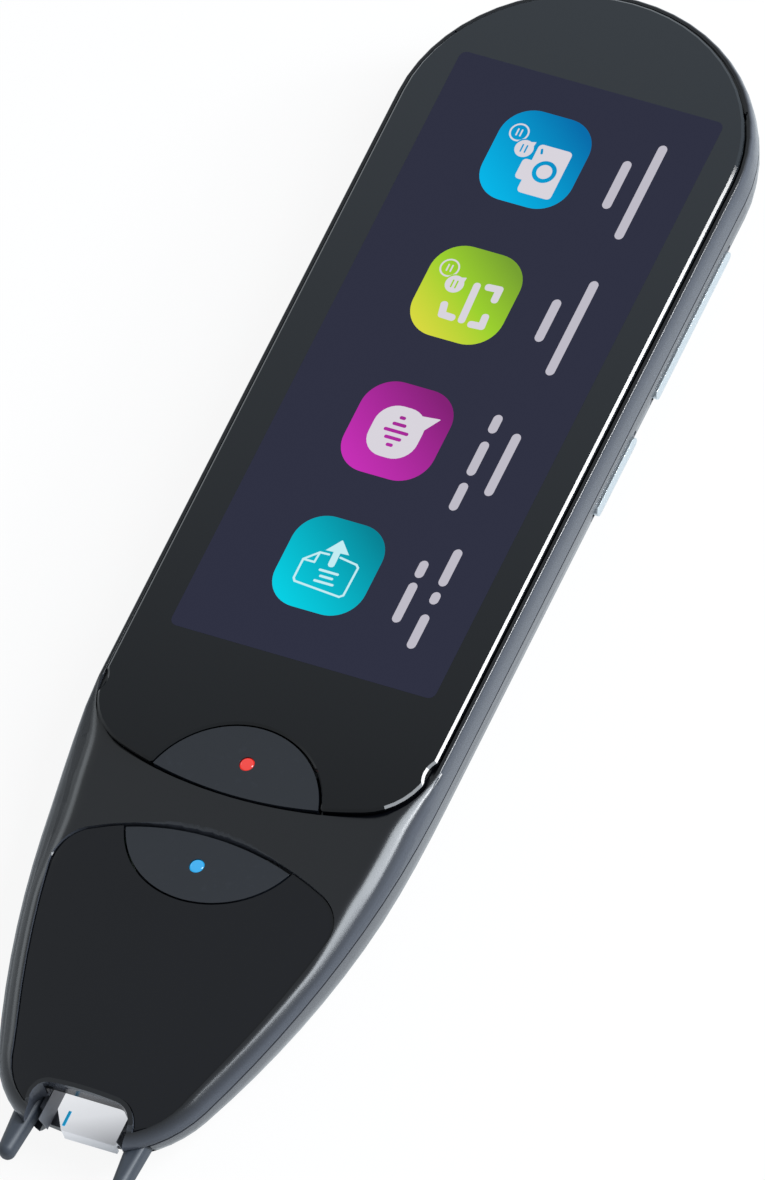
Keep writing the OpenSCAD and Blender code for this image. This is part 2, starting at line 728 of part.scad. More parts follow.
// ---------------------------------------------------------------- side keys
module key_body(y, len) {
    color("#a9afb8") {
        intersection() {
            upright(key_flange_x, y, len, key_h, half_w - key_in - key_flange_x);
            towards_top(half_w - key_in - key_face_r, y - len, key_z)
                cylinder(h = 2 * len, r = key_face_r, $fn = wide_fn);
        }
        box([key_flange_x, key_flange_x + key_flange_t],
            [y - len / 2 - key_flange_more, y + len / 2 + key_flange_more],
            [key_z - key_h / 2 - key_flange_rise, key_z + key_h / 2 + key_flange_rise]);
    }
}
module volume_key() {
    pivot_r = 0.5;
    key_body(volume_y, volume_len);
    color("#a9afb8") translate([key_flange_x, volume_y, key_z - key_h / 2]) cylinder(h = key_h, r = pivot_r);
}
module power_key() { key_body(power_y, power_len); }
module side_switches() {
    half_l = 1.6;
    half_h = 1.2;
    color("#d8d8d8") for (y = [volume_y - switch_half, volume_y + switch_half, power_y])
        box([switch_x, switch_x + switch_t], [y - half_l, y + half_l], [key_z - half_h, key_z + half_h]);
}
module switch_bracket() {
    bracket_t = 0.35;
    end_more = 4;
    under = 1.9;
    slot_half = 2;       // clears the rocker's pivot
    slot_rise = 0.6;
    color("#b58a3c") difference() {
        box([switch_x - bracket_t, switch_x], [power_y - end_more, volume_y + switch_half + end_more],
            [key_z - under, board_z]);
        box([switch_x - 1, switch_x + 1], [volume_y - slot_half, volume_y + slot_half],
            [key_z - slot_rise, key_z + slot_rise]);
    }
}

// ---------------------------------------------------------------- electronics
module main_board() {
    end_half = 8;
    end_down = 4;
    color("#1f5a36") slab(board_z, board_t) difference() {
        polygon([[-board_half, board_low_y], [board_half, board_low_y], [board_half, shoulder_y],
            [end_half, top_y - end_down], [-end_half, top_y - end_down], [-board_half, shoulder_y]]);
        for (p = board_screws) translate(p) circle(screw_r + play);
    }
}
module under_board(t) { slab(board_z - t, t) children(); }
can_side = 5.8;      // shield can, from the board's edges
can_up = 12;
can_down = 8;
module shield_can() {
    can_t = 1.5;
    can_len = board_len - can_up - can_down;
    color("#c4c7cb") under_board(can_t)
        around(0, board_low_y + can_up + can_len / 2, 2 * (board_half - can_side), can_len);
}
module board_chips() {
    radio = [5, 5, 0.9];
    radio_in = 3;        // from the shield can's edge
    radio_x = board_half - can_side - radio_in;
    memory = [14, 4, 1];
    part = [1, 1.8, 0.5];
    part_pitch = 2.2;
    color("#222426") {
        for (x = [-radio_x, radio_x])
            under_board(radio.z) around(x, shoulder_y - can_down + radio.y / 2 + 2, radio.x, radio.y);
        under_board(memory.z) around(0, board_low_y + can_up - memory.y, memory.x, memory.y);
        for (i = [-4:4])
            under_board(part.z) around(i * part_pitch, board_low_y + battery_under + part.y, part.x, part.y);
    }
}
module board_spacers() {
    spacer_r = 1.6;
    color("#c9a75a") for (p = board_screws) translate([p.x, p.y, board_top]) difference() {
        cylinder(h = spacer_t, r = spacer_r);
        translate([0, 0, -over]) cylinder(h = spacer_t + 2 * over, r = screw_r + play);
    }
}
module battery() {
    color("#c8cbd0") slab(battery_z, battery_t) around(0, battery_mid_y, battery_w, battery_len);
}
module battery_tape() {
    tape_w = 7;
    tape_x = 9;
    tape_less = 6;
    color("#e6e2d2") for (x = [-tape_x, tape_x])
        slab(floor_t, tape_t) around(x, battery_mid_y, tape_w, battery_len - tape_less);
}
module battery_lead() {
    lead_r = 0.45;
    lead_len = 3;
    lead_pitch = 1.4;
    lead_down = 1.2;
    run_z = battery_z + battery_t - lead_down;
    color("#c23a30") for (i = [0, 1])
        translate([-board_half + screw_in + 2 + i * lead_pitch, battery_end_y, run_z]) {
            rotate([-90, 0, 0]) cylinder(h = lead_len, r = lead_r);
            translate([0, lead_len, 0]) sphere(lead_r);
            translate([0, lead_len, 0]) cylinder(h = board_z - run_z, r = lead_r);
        }
}
mesh_t = 0.3;
module speaker() {
    color("#26282b") slab(floor_t + mesh_t, speaker_t) around(0, speaker_y, speaker_w, speaker_len);
}
module speaker_mesh() {
    mesh_less = 2;
    color("#55585c") slab(floor_t, mesh_t) around(0, speaker_y, speaker_w, speaker_len - mesh_less);
}
module rear_camera() {
    side = 8.5;
    barrel_r = 3.2;
    barrel_z = 1.55;
    body_z = 2.5;
    color("#1c1d20") {
        slab(body_z, board_z - body_z) around(0, camera_y, side, side);
        translate([0, camera_y, barrel_z]) cylinder(h = body_z - barrel_z, r = barrel_r);
    }
}
module camera_ring() {
    color("#8d939a") translate([0, camera_y, tape_t]) difference() {
        cylinder(h = ring_t, r = window_r + ring_w);
        translate([0, 0, -over]) cylinder(h = ring_t + 2 * over, r = window_r + hair);
    }
}
module camera_window() {
    color("#101216") translate([0, camera_y, 2 * tape_t]) cylinder(h = window_t, r = window_r);
}
module microphone() {
    mic = [3, 3.6, 1];
    mic_up = 8.5;
    color("#c9a75a") under_board(mic.z) around(mic_x, shoulder_y + mic_up, mic.x, mic.y);
}
module usb_socket() {
    shell_t = 0.3;
    back_t = 1;
    color("#c9ccd0") towards_top(0, top_y - port_in - port_len, port_z) difference() {
        linear_extrude(port_len) port_shape();
        translate([0, 0, back_t]) linear_extrude(port_len) port_shape(-shell_t);
    }
}
module usb_tongue() {
    tongue = [6.8, 5.2, 0.7];
    from_y = top_y - port_in - port_len + 1;
    color("#2b2d30") box([-tongue.x / 2, tongue.x / 2], [from_y, from_y + tongue.y],
        [port_z - tongue.z / 2, port_z + tongue.z / 2]);
}

// ---------------------------------------------------------------- scanning head
module scan_bezel() {
    window = lamp_w / 2 + play;
    color("#4a4e54") difference() {
        box([-chamber_half, chamber_half], [chamber_y - bezel_t, chamber_y], [chamber_z + hair, part_z]);
        towards_top(0, chamber_y - bezel_t - over, eye_z) cylinder(h = bezel_t + 2 * over, r = lens_r + hair);
        for (x = [-lamp_x, lamp_x]) box([x - window, x + window],
            [chamber_y - bezel_t - over, chamber_y + over], [eye_z - window, eye_z + window]);
    }
}
module scan_lens() {
    lens_len = 3.4;
    color("#3a4a6a") towards_top(0, chamber_y - bezel_t, eye_z) cylinder(h = lens_len, r = lens_r);
}
sensor_top = 1.1;    // height of the camera's body over the eye
module scan_camera() {
    half = 3.4;
    from_y = chamber_y + 1.2;
    sensor_len = 4.8;
    under = 0.6;
    barrel = 2.9;
    color("#202226") difference() {
        box([-half, half], [from_y, from_y + sensor_len], [chamber_z - under, eye_z + sensor_top]);
        towards_top(0, chamber_y, eye_z) cylinder(h = barrel, r = lens_r + hair);
    }
}
module scan_lamps() {
    lamp_back = 0.6;
    lamp_front = 0.5;
    color("#f4f1d8") for (x = [-lamp_x, lamp_x])
        box([x - lamp_w / 2, x + lamp_w / 2], [chamber_y - lamp_front, chamber_y + lamp_back],
            [eye_z - lamp_w / 2, eye_z + lamp_w / 2]);
}
module scan_diffuser() {
    cut_x = 1.6;
    cut_y = 2.5;
    half = chamber_half - play;
    apron_t = 0.5;       // turned down over the floor's edge
    low = floor_y - play - apron_t;
    apron_z = back_height(floor_y) + play;
    top = chamber_y - bezel_t - 2 * play;
    color("#f4f5f7") difference() {
        union() {
            slab(chamber_z, diffuser_t)
                polygon([[-half, top], [half, top], [half, low + cut_y], [half - cut_x, low],
                    [-half + cut_x, low], [-half, low + cut_y]]);
            box([-half + cut_x, half - cut_x], [low, low + apron_t], [apron_z, chamber_z + diffuser_t]);
        }
        slab(chamber_z, body_t) around(mark_x, floor_y + mark_up, mark_w + hair, mark_len + hair);
    }
}
module start_mark() {
    color("#1590b8") slab(chamber_z, diffuser_t + hair) around(mark_x, floor_y + mark_up, mark_w, mark_len);
}

// The guide feet with the yoke that joins them behind the chamber
module foot_shape() {
    root_down = 0.5;
    lean = 0.15;
    arc_steps = 10;
    root_y = notch_y - root_down;
    end_r = foot_end_w / 2;
    back_y = yoke_y + yoke_len;
    in_x = foot_x - foot_w / 2;
    out_x = foot_x + foot_w / 2;
    polygon(concat([[in_x, back_y], [out_x, back_y], [out_x, root_y]],
        arc([foot_x + lean, tip_y - foot_out + end_r], end_r, 0, -180, arc_steps), [[in_x, root_y]]));
}
module tip_fork() {
    color("#3c4249") {
        slab(foot_z, foot_t) for (s = [0, 1]) mirror([s, 0]) foot_shape();
        box([-foot_x, foot_x], [yoke_y, yoke_y + yoke_len], [yoke_z, foot_top]);
    }
}
module tip_switch() {
    plunger = [2, 0.8];
    body = [5.2, 3.2];
    from_y = yoke_y + yoke_len + foot_travel + 0.1;
    body_y = from_y + plunger.y;
    color("#2a2c2f") {
        box([-body.x / 2, body.x / 2], [body_y, body_y + body.y], [yoke_z, part_z - hair]);
        box([-plunger.x / 2, plunger.x / 2], [from_y, body_y], [yoke_z, foot_top - 0.1]);
    }
}

// ---------------------------------------------------------------- fasteners and leads
module case_screws() {
    recess_r = 0.5;
    recess_up = 0.2;
    shank_z = floor_t + 1.2;
    color("#b9bcc0") for (p = concat(board_screws, plate_screws)) translate([p.x, p.y, 0]) difference() {
        union() {
            translate([0, 0, part_z]) cylinder(h = head_t, r = head_r);
            translate([0, 0, shank_z]) cylinder(h = part_z - shank_z, r = screw_r);
        }
        translate([0, 0, part_z + recess_up]) cylinder(h = head_t, r = recess_r, $fn = 6);
    }
}
flex_t = 0.12;
// A bent lead: its side view, extruded over its width
module bent_flex(width, side_view) {
    color("#c7862e") rotate([90, 0, 90]) translate([0, 0, -width / 2])
        linear_extrude(width) polygon(side_view);
}
module display_flex() {
    width = 12;
    low_run = 5;
    high_run = 9;
    low = board_top;
    high = glass_z - display_t - flex_t;
    y0 = flex_y - flex_t / 2;
    y1 = flex_y + flex_t / 2;
    bent_flex(width, [[flex_y + high_run, high + flex_t], [y0, high + flex_t], [y0, low],
        [flex_y + low_run, low], [flex_y + low_run, low + flex_t], [y1, low + flex_t],
        [y1, high], [flex_y + high_run, high]]);
}
module button_flex() {
    flex_x = -11;
    width = 5;
    lap = 3;
    color("#c7862e") slab(board_top, flex_t)
        translate([flex_x, red_dot_y - lap]) square([width, flex_y - 1 - red_dot_y + lap]);
}
module scan_flex() {
    width = 4;
    lap = 3;
    low = eye_z + sensor_top;
    high = part_z - button_board_t - flex_t;
    y0 = chamber_y + lap;
    y1 = chamber_y + 2 * lap;
    y2 = blue_dot_y - 1 - lap;
    y3 = blue_dot_y - 1;
    bent_flex(width, [[y0, low], [y0, low + flex_t], [y1, low + flex_t], [y2, high + flex_t],
        [y3, high + flex_t], [y3, high], [y2, high], [y1, low]]);
}
module antenna() {
    antenna_w = 7;
    antenna_len = 22;
    antenna_gap = 0.6;   // beside the screw boss
    x = board_half - screw_in - boss_r - antenna_gap - antenna_w / 2;
    color("#c9a75a") slab(floor_t, tape_t) around(-x, shoulder_y - antenna_len, antenna_w, antenna_len);
}

front_frame();
rear_housing();
cover_glass();
glass_adhesive();
touch_display();
chassis_plate();
nose_panel();
upper_button();
lower_button();
red_light_pipe();
blue_light_pipe();
button_board();
dome_switches();
indicator_leds();
volume_key();
power_key();
side_switches();
switch_bracket();
main_board();
shield_can();
board_chips();
board_spacers();
battery();
battery_tape();
battery_lead();
speaker();
speaker_mesh();
rear_camera();
camera_ring();
camera_window();
microphone();
usb_socket();
usb_tongue();
scan_camera();
scan_lens();
scan_bezel();
scan_lamps();
scan_diffuser();
start_mark();
tip_fork();
tip_switch();
case_screws();
display_flex();
button_flex();
scan_flex();
antenna();
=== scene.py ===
import json
from math import atan2, hypot, radians, sqrt

import bpy
from mathutils import Matrix, Vector


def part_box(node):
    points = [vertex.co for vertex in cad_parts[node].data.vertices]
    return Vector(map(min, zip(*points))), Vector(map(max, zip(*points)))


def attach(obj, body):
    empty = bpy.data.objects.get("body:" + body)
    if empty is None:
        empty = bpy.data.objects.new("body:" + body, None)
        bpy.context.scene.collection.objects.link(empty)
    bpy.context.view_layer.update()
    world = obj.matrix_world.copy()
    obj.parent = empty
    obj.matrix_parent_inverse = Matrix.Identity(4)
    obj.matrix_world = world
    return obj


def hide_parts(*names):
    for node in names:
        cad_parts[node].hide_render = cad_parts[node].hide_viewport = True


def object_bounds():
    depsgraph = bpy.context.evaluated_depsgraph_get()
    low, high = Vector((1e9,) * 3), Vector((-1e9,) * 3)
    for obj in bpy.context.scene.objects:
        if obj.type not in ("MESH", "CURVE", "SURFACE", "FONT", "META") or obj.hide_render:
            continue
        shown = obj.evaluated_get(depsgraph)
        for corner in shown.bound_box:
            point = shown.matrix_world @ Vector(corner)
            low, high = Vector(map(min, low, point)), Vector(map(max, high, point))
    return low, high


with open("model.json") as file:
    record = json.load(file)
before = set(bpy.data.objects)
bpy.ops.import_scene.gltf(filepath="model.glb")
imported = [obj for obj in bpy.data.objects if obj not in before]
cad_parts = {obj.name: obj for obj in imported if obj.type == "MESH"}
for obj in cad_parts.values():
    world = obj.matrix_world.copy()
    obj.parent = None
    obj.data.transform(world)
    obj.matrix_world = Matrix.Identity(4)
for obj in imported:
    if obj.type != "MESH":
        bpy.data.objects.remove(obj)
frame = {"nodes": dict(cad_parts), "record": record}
cad_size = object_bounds()
parts = frame["nodes"]
MM = 0.001


# ---------------------------------------------------------------- handling pieces
def drop_selection():
    bpy.ops.object.select_all(action="DESELECT")


def take(piece):
    """Leaves only this piece selected and active."""
    drop_selection()
    piece.select_set(True)
    bpy.context.view_layer.objects.active = piece


def settle(piece, name):
    """Puts a new piece's place into its mesh and names it."""
    take(piece)
    bpy.ops.object.transform_apply(location=True, rotation=True, scale=True)
    piece.name = name
    piece.data.name = name
    return piece


def dress(piece, material, body="housing"):
    """Gives a finished piece its one material and the body that carries it."""
    piece.data.materials.clear()
    piece.data.materials.append(material)
    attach(piece, body)


def join(pieces, name):
    """Makes one piece out of several."""
    take(pieces[0])
    for piece in pieces[1:]:
        piece.select_set(True)
    bpy.ops.object.join()
    return settle(bpy.context.object, name)


# ---------------------------------------------------------------- shared shader groups
def new_group(name, inputs, outputs):
    group = bpy.data.node_groups.new(name, "ShaderNodeTree")
    for label, default in inputs:
        kind = "NodeSocketVector" if isinstance(default, tuple) else "NodeSocketFloat"
        socket = group.interface.new_socket(label, in_out="INPUT", socket_type=kind)
        socket.default_value = default
    for label in outputs:
        group.interface.new_socket(label, in_out="OUTPUT", socket_type="NodeSocketFloat")
    return group, group.nodes.new("NodeGroupInput"), group.nodes.new("NodeGroupOutput")


def wire(tree, source, target):
    tree.links.new(source, target)


def math_node(tree, operation, first, second):
    node = tree.nodes.new("ShaderNodeMath")
    node.operation = operation
    for socket, value in zip(node.inputs, (first, second)):
        if isinstance(value, (int, float)):
            socket.default_value = value
        else:
            wire(tree, value, socket)
    return node.outputs[0]


def noise_node(tree, place, scale, detail, roughness=0.5):
    node = tree.nodes.new("ShaderNodeTexNoise")
    node.inputs["Detail"].default_value = detail
    node.inputs["Roughness"].default_value = roughness
    wire(tree, place, node.inputs["Vector"])
    wire(tree, scale, node.inputs["Scale"])
    return node.outputs["Fac"]


SPECK_SCALE = 0.13       # of the grain's own scale
SPECK_LEVEL = 0.62       # noise above this is a speck
SPECK_EDGE = 6.0         # how sharply a speck sets in
SMEAR_TOP = 0.75


def build_moulded_grain():
    """Fine spark-eroded grain of moulded plastic, with broad patches where hands have polished it."""
    group, given, made = new_group(
        "moulded_grain", [("Grain", 9000.0), ("Patch", 60.0)], ["Height", "Polish", "Dust"])
    place = group.nodes.new("ShaderNodeTexCoord").outputs["Object"]
    fine = noise_node(group, place, given.outputs["Grain"], 2)
    broad = noise_node(group, place, given.outputs["Patch"], 3)
    coarse = math_node(group, "MULTIPLY", given.outputs["Grain"], SPECK_SCALE)
    specks = noise_node(group, place, coarse, 1)
    wire(group, fine, made.inputs["Height"])
    wire(group, broad, made.inputs["Polish"])
    spots = math_node(group, "MULTIPLY", math_node(group, "SUBTRACT", specks, SPECK_LEVEL), SPECK_EDGE)
    clamp = group.nodes.new("ShaderNodeClamp")
    wire(group, spots, clamp.inputs["Value"])
    wire(group, clamp.outputs[0], made.inputs["Dust"])
    return group


def build_touch_marks():
    """Faint smears that fingers leave on polished surfaces."""
    group, given, made = new_group("touch_marks", [("Size", 55.0), ("Stretch", (1.0, 0.35, 1.0))], ["Smear"])
    place = group.nodes.new("ShaderNodeTexCoord").outputs["Object"]
    spread = group.nodes.new("ShaderNodeMapping")
    wire(group, place, spread.inputs["Vector"])
    wire(group, given.outputs["Stretch"], spread.inputs["Scale"])
    smear = noise_node(group, spread.outputs[0], given.outputs["Size"], 4, 0.6)
    eased = math_node(group, "SMOOTH_MIN", smear, SMEAR_TOP)
    wire(group, eased, made.inputs["Smear"])
    return group


def build_slope():
    """How far a point lies along a direction from a place, from 0 to 1 over a length, all in millimetres."""
    group, given, made = new_group(
        "slope", [("Middle", (0.0, 0.0, 0.0)), ("Direction", (1.0, 0.0, 0.0)), ("Length", 12.0)], ["Share"])
    place = group.nodes.new("ShaderNodeTexCoord").outputs["Object"]
    to_mm = group.nodes.new("ShaderNodeVectorMath")
    to_mm.operation = "SCALE"
    to_mm.inputs["Scale"].default_value = 1 / MM
    wire(group, place, to_mm.inputs[0])
    away = group.nodes.new("ShaderNodeVectorMath")
    away.operation = "SUBTRACT"
    wire(group, to_mm.outputs[0], away.inputs[0])
    wire(group, given.outputs["Middle"], away.inputs[1])
    along = group.nodes.new("ShaderNodeVectorMath")
    along.operation = "DOT_PRODUCT"
    wire(group, away.outputs[0], along.inputs[0])
    wire(group, given.outputs["Direction"], along.inputs[1])
    share = math_node(group, "DIVIDE", along.outputs["Value"], given.outputs["Length"])
    wire(group, math_node(group, "ADD", share, 0.5), made.inputs["Share"])
    return group


def build_upright():
    """How upright a surface stands: 0 where it lies nearly level, 1 on a wall."""
    group, given, made = new_group("upright", [("Level", 0.95), ("Wall", 0.35)], ["Share"])
    split = group.nodes.new("ShaderNodeSeparateXYZ")
    wire(group, group.nodes.new("ShaderNodeTexCoord").outputs["Normal"], split.inputs[0])
    node = group.nodes.new("ShaderNodeMapRange")
    wire(group, math_node(group, "ABSOLUTE", split.outputs["Z"], 0.0), node.inputs["Value"])
    wire(group, given.outputs["Level"], node.inputs["From Min"])
    wire(group, given.outputs["Wall"], node.inputs["From Max"])
    wire(group, node.outputs[0], made.inputs["Share"])
    return group


MOULDED_GRAIN = build_moulded_grain()
TOUCH_MARKS = build_touch_marks()
SLOPE = build_slope()
UPRIGHT = build_upright()


# ---------------------------------------------------------------- materials
NOISE_LOW, NOISE_HIGH = 0.3, 0.7     # the range that most of a noise lies in
ROUGHNESS_SWAY = 0.04
GRAIN_STRENGTH = 0.25
SMEAR_TINT = 4
SCREEN_BLACK = (0.002, 0.002, 0.003, 1)


def linear(colour):
    """A screen colour from 0 to 255 as the linear colour that a shader takes."""
    out = []
    for channel in colour:
        c = channel / 255
        out.append(c / 12.92 if c <= 0.04045 else ((c + 0.055) / 1.055) ** 2.4)
    return (*out, 1.0)


def new_material(name):
    material = bpy.data.materials.new(name)
    material.use_nodes = True
    return material, material.node_tree, material.node_tree.nodes["Principled BSDF"]


def place_group(tree, group, **values):
    node = tree.nodes.new("ShaderNodeGroup")
    node.node_tree = group
    for label, value in values.items():
        node.inputs[label].default_value = value
    return node


def spread_value(tree, source, low, high):
    """Spreads a noise over two values."""
    node = tree.nodes.new("ShaderNodeMapRange")
    node.inputs["From Min"].default_value = NOISE_LOW
    node.inputs["From Max"].default_value = NOISE_HIGH
    node.inputs["To Min"].default_value = low
    node.inputs["To Max"].default_value = high
    wire(tree, source, node.inputs["Value"])
    return node.outputs[0]


def spread_colour(tree, source, first, second):
    """Mixes two colours by a mask."""
    node = tree.nodes.new("ShaderNodeMix")
    node.data_type = "RGBA"
    wire(tree, source, node.inputs["Factor"])
    node.inputs["A"].default_value = linear(first)
    node.inputs["B"].default_value = linear(second)
    return node.outputs["Result"]


def spread_stops(tree, source, colours):
    """Spreads a share over several colours at even steps."""
    ramp = tree.nodes.new("ShaderNodeValToRGB")
    stops = ramp.color_ramp.elements
    for step in range(1, len(colours) - 1):
        stops.new(step / (len(colours) - 1))
    for stop, colour in zip(stops, colours):
        stop.color = linear(colour)
    wire(tree, source, ramp.inputs["Fac"])
    return ramp.outputs["Color"]


def moulded(name, colour, roughness, grain=9000.0, depth=0.02, specular=0.5, metallic=0.0, tint=6):
    """Moulded or machined surface: fine grain, polish patches and a trace of dust."""
    material, tree, shader = new_material(name)
    effect = place_group(tree, MOULDED_GRAIN, Grain=grain)
    lighter = tuple(min(255, c + tint) for c in colour)
    wire(tree, spread_colour(tree, effect.outputs["Dust"], colour, lighter), shader.inputs["Base Color"])
    rough = spread_value(
        tree, effect.outputs["Polish"], roughness - ROUGHNESS_SWAY, roughness + ROUGHNESS_SWAY)
    wire(tree, rough, shader.inputs["Roughness"])
    bump = tree.nodes.new("ShaderNodeBump")
    bump.inputs["Strength"].default_value = GRAIN_STRENGTH
    bump.inputs["Distance"].default_value = depth * MM
    wire(tree, effect.outputs["Height"], bump.inputs["Height"])
    wire(tree, bump.outputs[0], shader.inputs["Normal"])
    shader.inputs["Specular IOR Level"].default_value = specular
    shader.inputs["Metallic"].default_value = metallic
    return material


def polished(name, colour, specular=0.5, low=0.03, high=0.07, coat=0.0):
    """Glossy surface with faint smears."""
    material, tree, shader = new_material(name)
    effect = place_group(tree, TOUCH_MARKS)
    wire(tree, spread_value(tree, effect.outputs["Smear"], low, high), shader.inputs["Roughness"])
    lighter = tuple(min(255, c + SMEAR_TINT) for c in colour)
    wire(tree, spread_colour(tree, effect.outputs["Smear"], colour, lighter), shader.inputs["Base Color"])
    shader.inputs["Specular IOR Level"].default_value = specular
    shader.inputs["Coat Weight"].default_value = coat
    return material


def lit(name, first, second=None, *further, middle=(0, 0), direction=(1, 0), length=12.0, specular=0.008):
    """Part of the lit screen: its own light, sloping between two colours, under the glass's gloss."""
    material, tree, shader = new_material(name)
    shader.inputs["Emission Color"].default_value = linear(first)
    if second:
        effect = place_group(tree, SLOPE, Middle=(*middle, 0.0), Direction=(*direction, 0.0), Length=length)
        colour = spread_stops(tree, effect.outputs["Share"], (first, second, *further))
        wire(tree, colour, shader.inputs["Emission Color"])
    marks = place_group(tree, TOUCH_MARKS)
    wire(tree, spread_value(tree, marks.outputs["Smear"], 0.03, 0.07), shader.inputs["Roughness"])
    shader.inputs["Base Color"].default_value = SCREEN_BLACK
    shader.inputs["Emission Strength"].default_value = 1.0
    shader.inputs["Specular IOR Level"].default_value = specular
    return material


FRAME_LEVEL, FRAME_WALL_SHEEN = (5, 6, 10), (68, 72, 80)       # the frame's front, and its flank lightened by a painted reflection
GLASS_LOW, GLASS_FAR_REFLECTION = (4, 5, 8), (42, 46, 50)          # the glass at the nose, and at the far end with a painted reflection

FINISH = {
    "frame": moulded("satin_charcoal", FRAME_LEVEL, 0.2, depth=0.003, specular=0.36),
    "shell": moulded("satin_grey", (60, 62, 68), 0.22, depth=0.005),
    "glass": polished("dark_glass", GLASS_LOW, specular=0.22),
    "adhesive": moulded("black_adhesive", (18, 18, 18), 0.75),
    "screen": polished("display_module", (38, 42, 56), specular=0.4),
    "plate": moulded("stamped_steel", (168, 172, 176), 0.34, grain=4000.0, metallic=1.0),
    "panel": polished("gloss_inlay", (7, 8, 13), specular=0.22, low=0.08, high=0.13),
    "button": moulded("satin_button", (16, 20, 27), 0.36, depth=0.006, specular=0.4),
    "board": moulded("solder_mask", (22, 84, 48), 0.3, grain=3000.0, tint=18),
    "contact": moulded("dome_steel", (196, 198, 200), 0.25, metallic=1.0),
    "key": moulded("anodised_key", (209, 217, 221), 0.3, grain=14000.0, depth=0.003, metallic=0.85),
    "brass": moulded("brass", (190, 160, 92), 0.3, metallic=1.0),
    "chip": moulded("epoxy_chip", (30, 31, 33), 0.5),
    "cell": moulded("foil_cell", (188, 191, 196), 0.32, grain=2500.0, depth=0.05, metallic=0.9),
    "tape": moulded("tape", (214, 210, 196), 0.6),
    "wire": moulded("red_wire", (176, 42, 36), 0.45),
    "ring": moulded("turned_ring", (140, 146, 153), 0.24, grain=12000.0, metallic=0.9),
    "lens": polished("coated_lens", (14, 18, 34), specular=0.7, coat=0.5),
    "bezel": moulded("chamber_grey", (88, 92, 99), 0.4),
    "diffuser": moulded("opal_diffuser", (150, 152, 156), 0.4, grain=6000.0, tint=3),
    "mark": moulded("blue_mark", (30, 176, 222), 0.4),
    "foot": moulded("satin_foot", (46, 52, 61), 0.5, depth=0.006),
    "screw": moulded("plated_screw", (182, 185, 188), 0.28, metallic=1.0),
    "flex": moulded("polyimide", (186, 122, 48), 0.28, grain=1500.0),
    "led": moulded("led_body", (232, 230, 214), 0.35),
    "red_dot": polished("red_light", (70, 8, 6), specular=0.6, low=0.05, high=0.09),
    "blue_dot": polished("blue_light", (4, 40, 66), specular=0.6, low=0.05, high=0.09),
}


def shader_of(slot):
    """A finish's node tree and its shader."""
    tree = FINISH[slot].node_tree
    return tree, tree.nodes["Principled BSDF"]


# The dots glow with their own lamps' light. The start mark and the diffuser glow as painted light in the
# chamber's shade
for slot, glow, strength in (
        ("red_dot", (238, 54, 44), 0.9), ("blue_dot", (44, 172, 236), 0.9), ("mark", (20, 140, 184), 0.7)):
    _, shader = shader_of(slot)
    shader.inputs["Emission Color"].default_value = linear(glow)
    shader.inputs["Emission Strength"].default_value = strength
# The diffuser's glow fades to painted shade towards its lower end at the tip
tree, shader = shader_of("diffuser")
effect = place_group(tree, SLOPE, Middle=(-1.0, -74.0, 4.5), Direction=(-0.35, 0.75, 0.56), Length=9.0)
glow = spread_stops(tree, effect.outputs["Share"], ((90, 92, 96), (212, 214, 218), (236, 238, 241)))
wire(tree, glow, shader.inputs["Emission Color"])
shader.inputs["Emission Strength"].default_value = 1.0

# Painted reflections: the glass lightens along the pen, and the frame on its flank
# The glass's base colour carries a painted reflection that lightens towards the far end
tree, shader = shader_of("glass")
effect = place_group(tree, SLOPE, Middle=(0.0, 22.0, 0.0), Direction=(-0.15, 1.0, 0.0), Length=112.0)
wire(tree, spread_colour(tree, effect.outputs["Share"], GLASS_LOW, GLASS_FAR_REFLECTION), shader.inputs["Base Color"])
tree, shader = shader_of("frame")
# The frame's walls get a painted reflection, lighter the more upright they stand
effect = place_group(tree, UPRIGHT)
wire(tree, spread_colour(tree, effect.outputs["Share"], FRAME_LEVEL, FRAME_WALL_SHEEN), shader.inputs["Base Color"])

SLOT_OF = {sub["node"]: sub["material_slot"] for sub in frame["record"]["subparts"]}
for name, part in parts.items():
    part.data.materials.clear()
    part.data.materials.append(FINISH[SLOT_OF[name]])


# ---------------------------------------------------------------- the crowned nose, in millimetres
HALF_WIDTH = 22.6
WAIST_Y = -22.9
TAPER_RADIUS = 132.0
NOSE_RADIUS = 14.5
NOSE_MIDDLE_Y = -65.85
TIP_Y = -80.35
GLASS_LOW_Y = -33.4
RIM_Z, NOSE_RIM_Z, CREST_Z = 11.9, 9.8, 12.2
WIDE_Z, NOSE_WIDE_Z = 10.4, 8.5
TAPER_END = 21.4             # degrees of the taper's arc, where the nose's arc takes over
NOSE_GROWTH = 19             # length over which the flank's section turns into the nose's
# Widths of the rim and of its shading at the flank, what the nose adds, and what is taken further on
RIM_WIDTH, RIM_MORE, RIM_LESS = 0.45, 1.85, 0.8
ROLL_WIDTH, ROLL_MORE, ROLL_WAIST, ROLL_TIP = 0.5, 3.7, 1.7, 0.8
CROWN_SHADE = 0.3            # how much of the crown's curve shows in the shading
STEEPEST = 0.995
PANEL_DROP = 0.3             # the inlay and its button lie this much below the frame
ROLL_START_Y = -21
GRID_STEP = 0.8
FRONT_FACING, FRONT_GAP = 0.8, 0.15      # how well a face has to match the front's curve


def ease(start, end, value):
    share = max(0.0, min(1.0, (value - start) / (end - start)))
    return share * share * (3 - 2 * share)


def nose_share(y):
    """0 along the flank and 1 at the nose."""
    return ease(WAIST_Y, WAIST_Y - NOSE_GROWTH, y)


def rim_width(y):
    """Width of the rounding between the front and the widest line."""
    return RIM_WIDTH + RIM_MORE * nose_share(y) - RIM_LESS * ease(NOSE_MIDDLE_Y - 3, TIP_Y + 3, y)


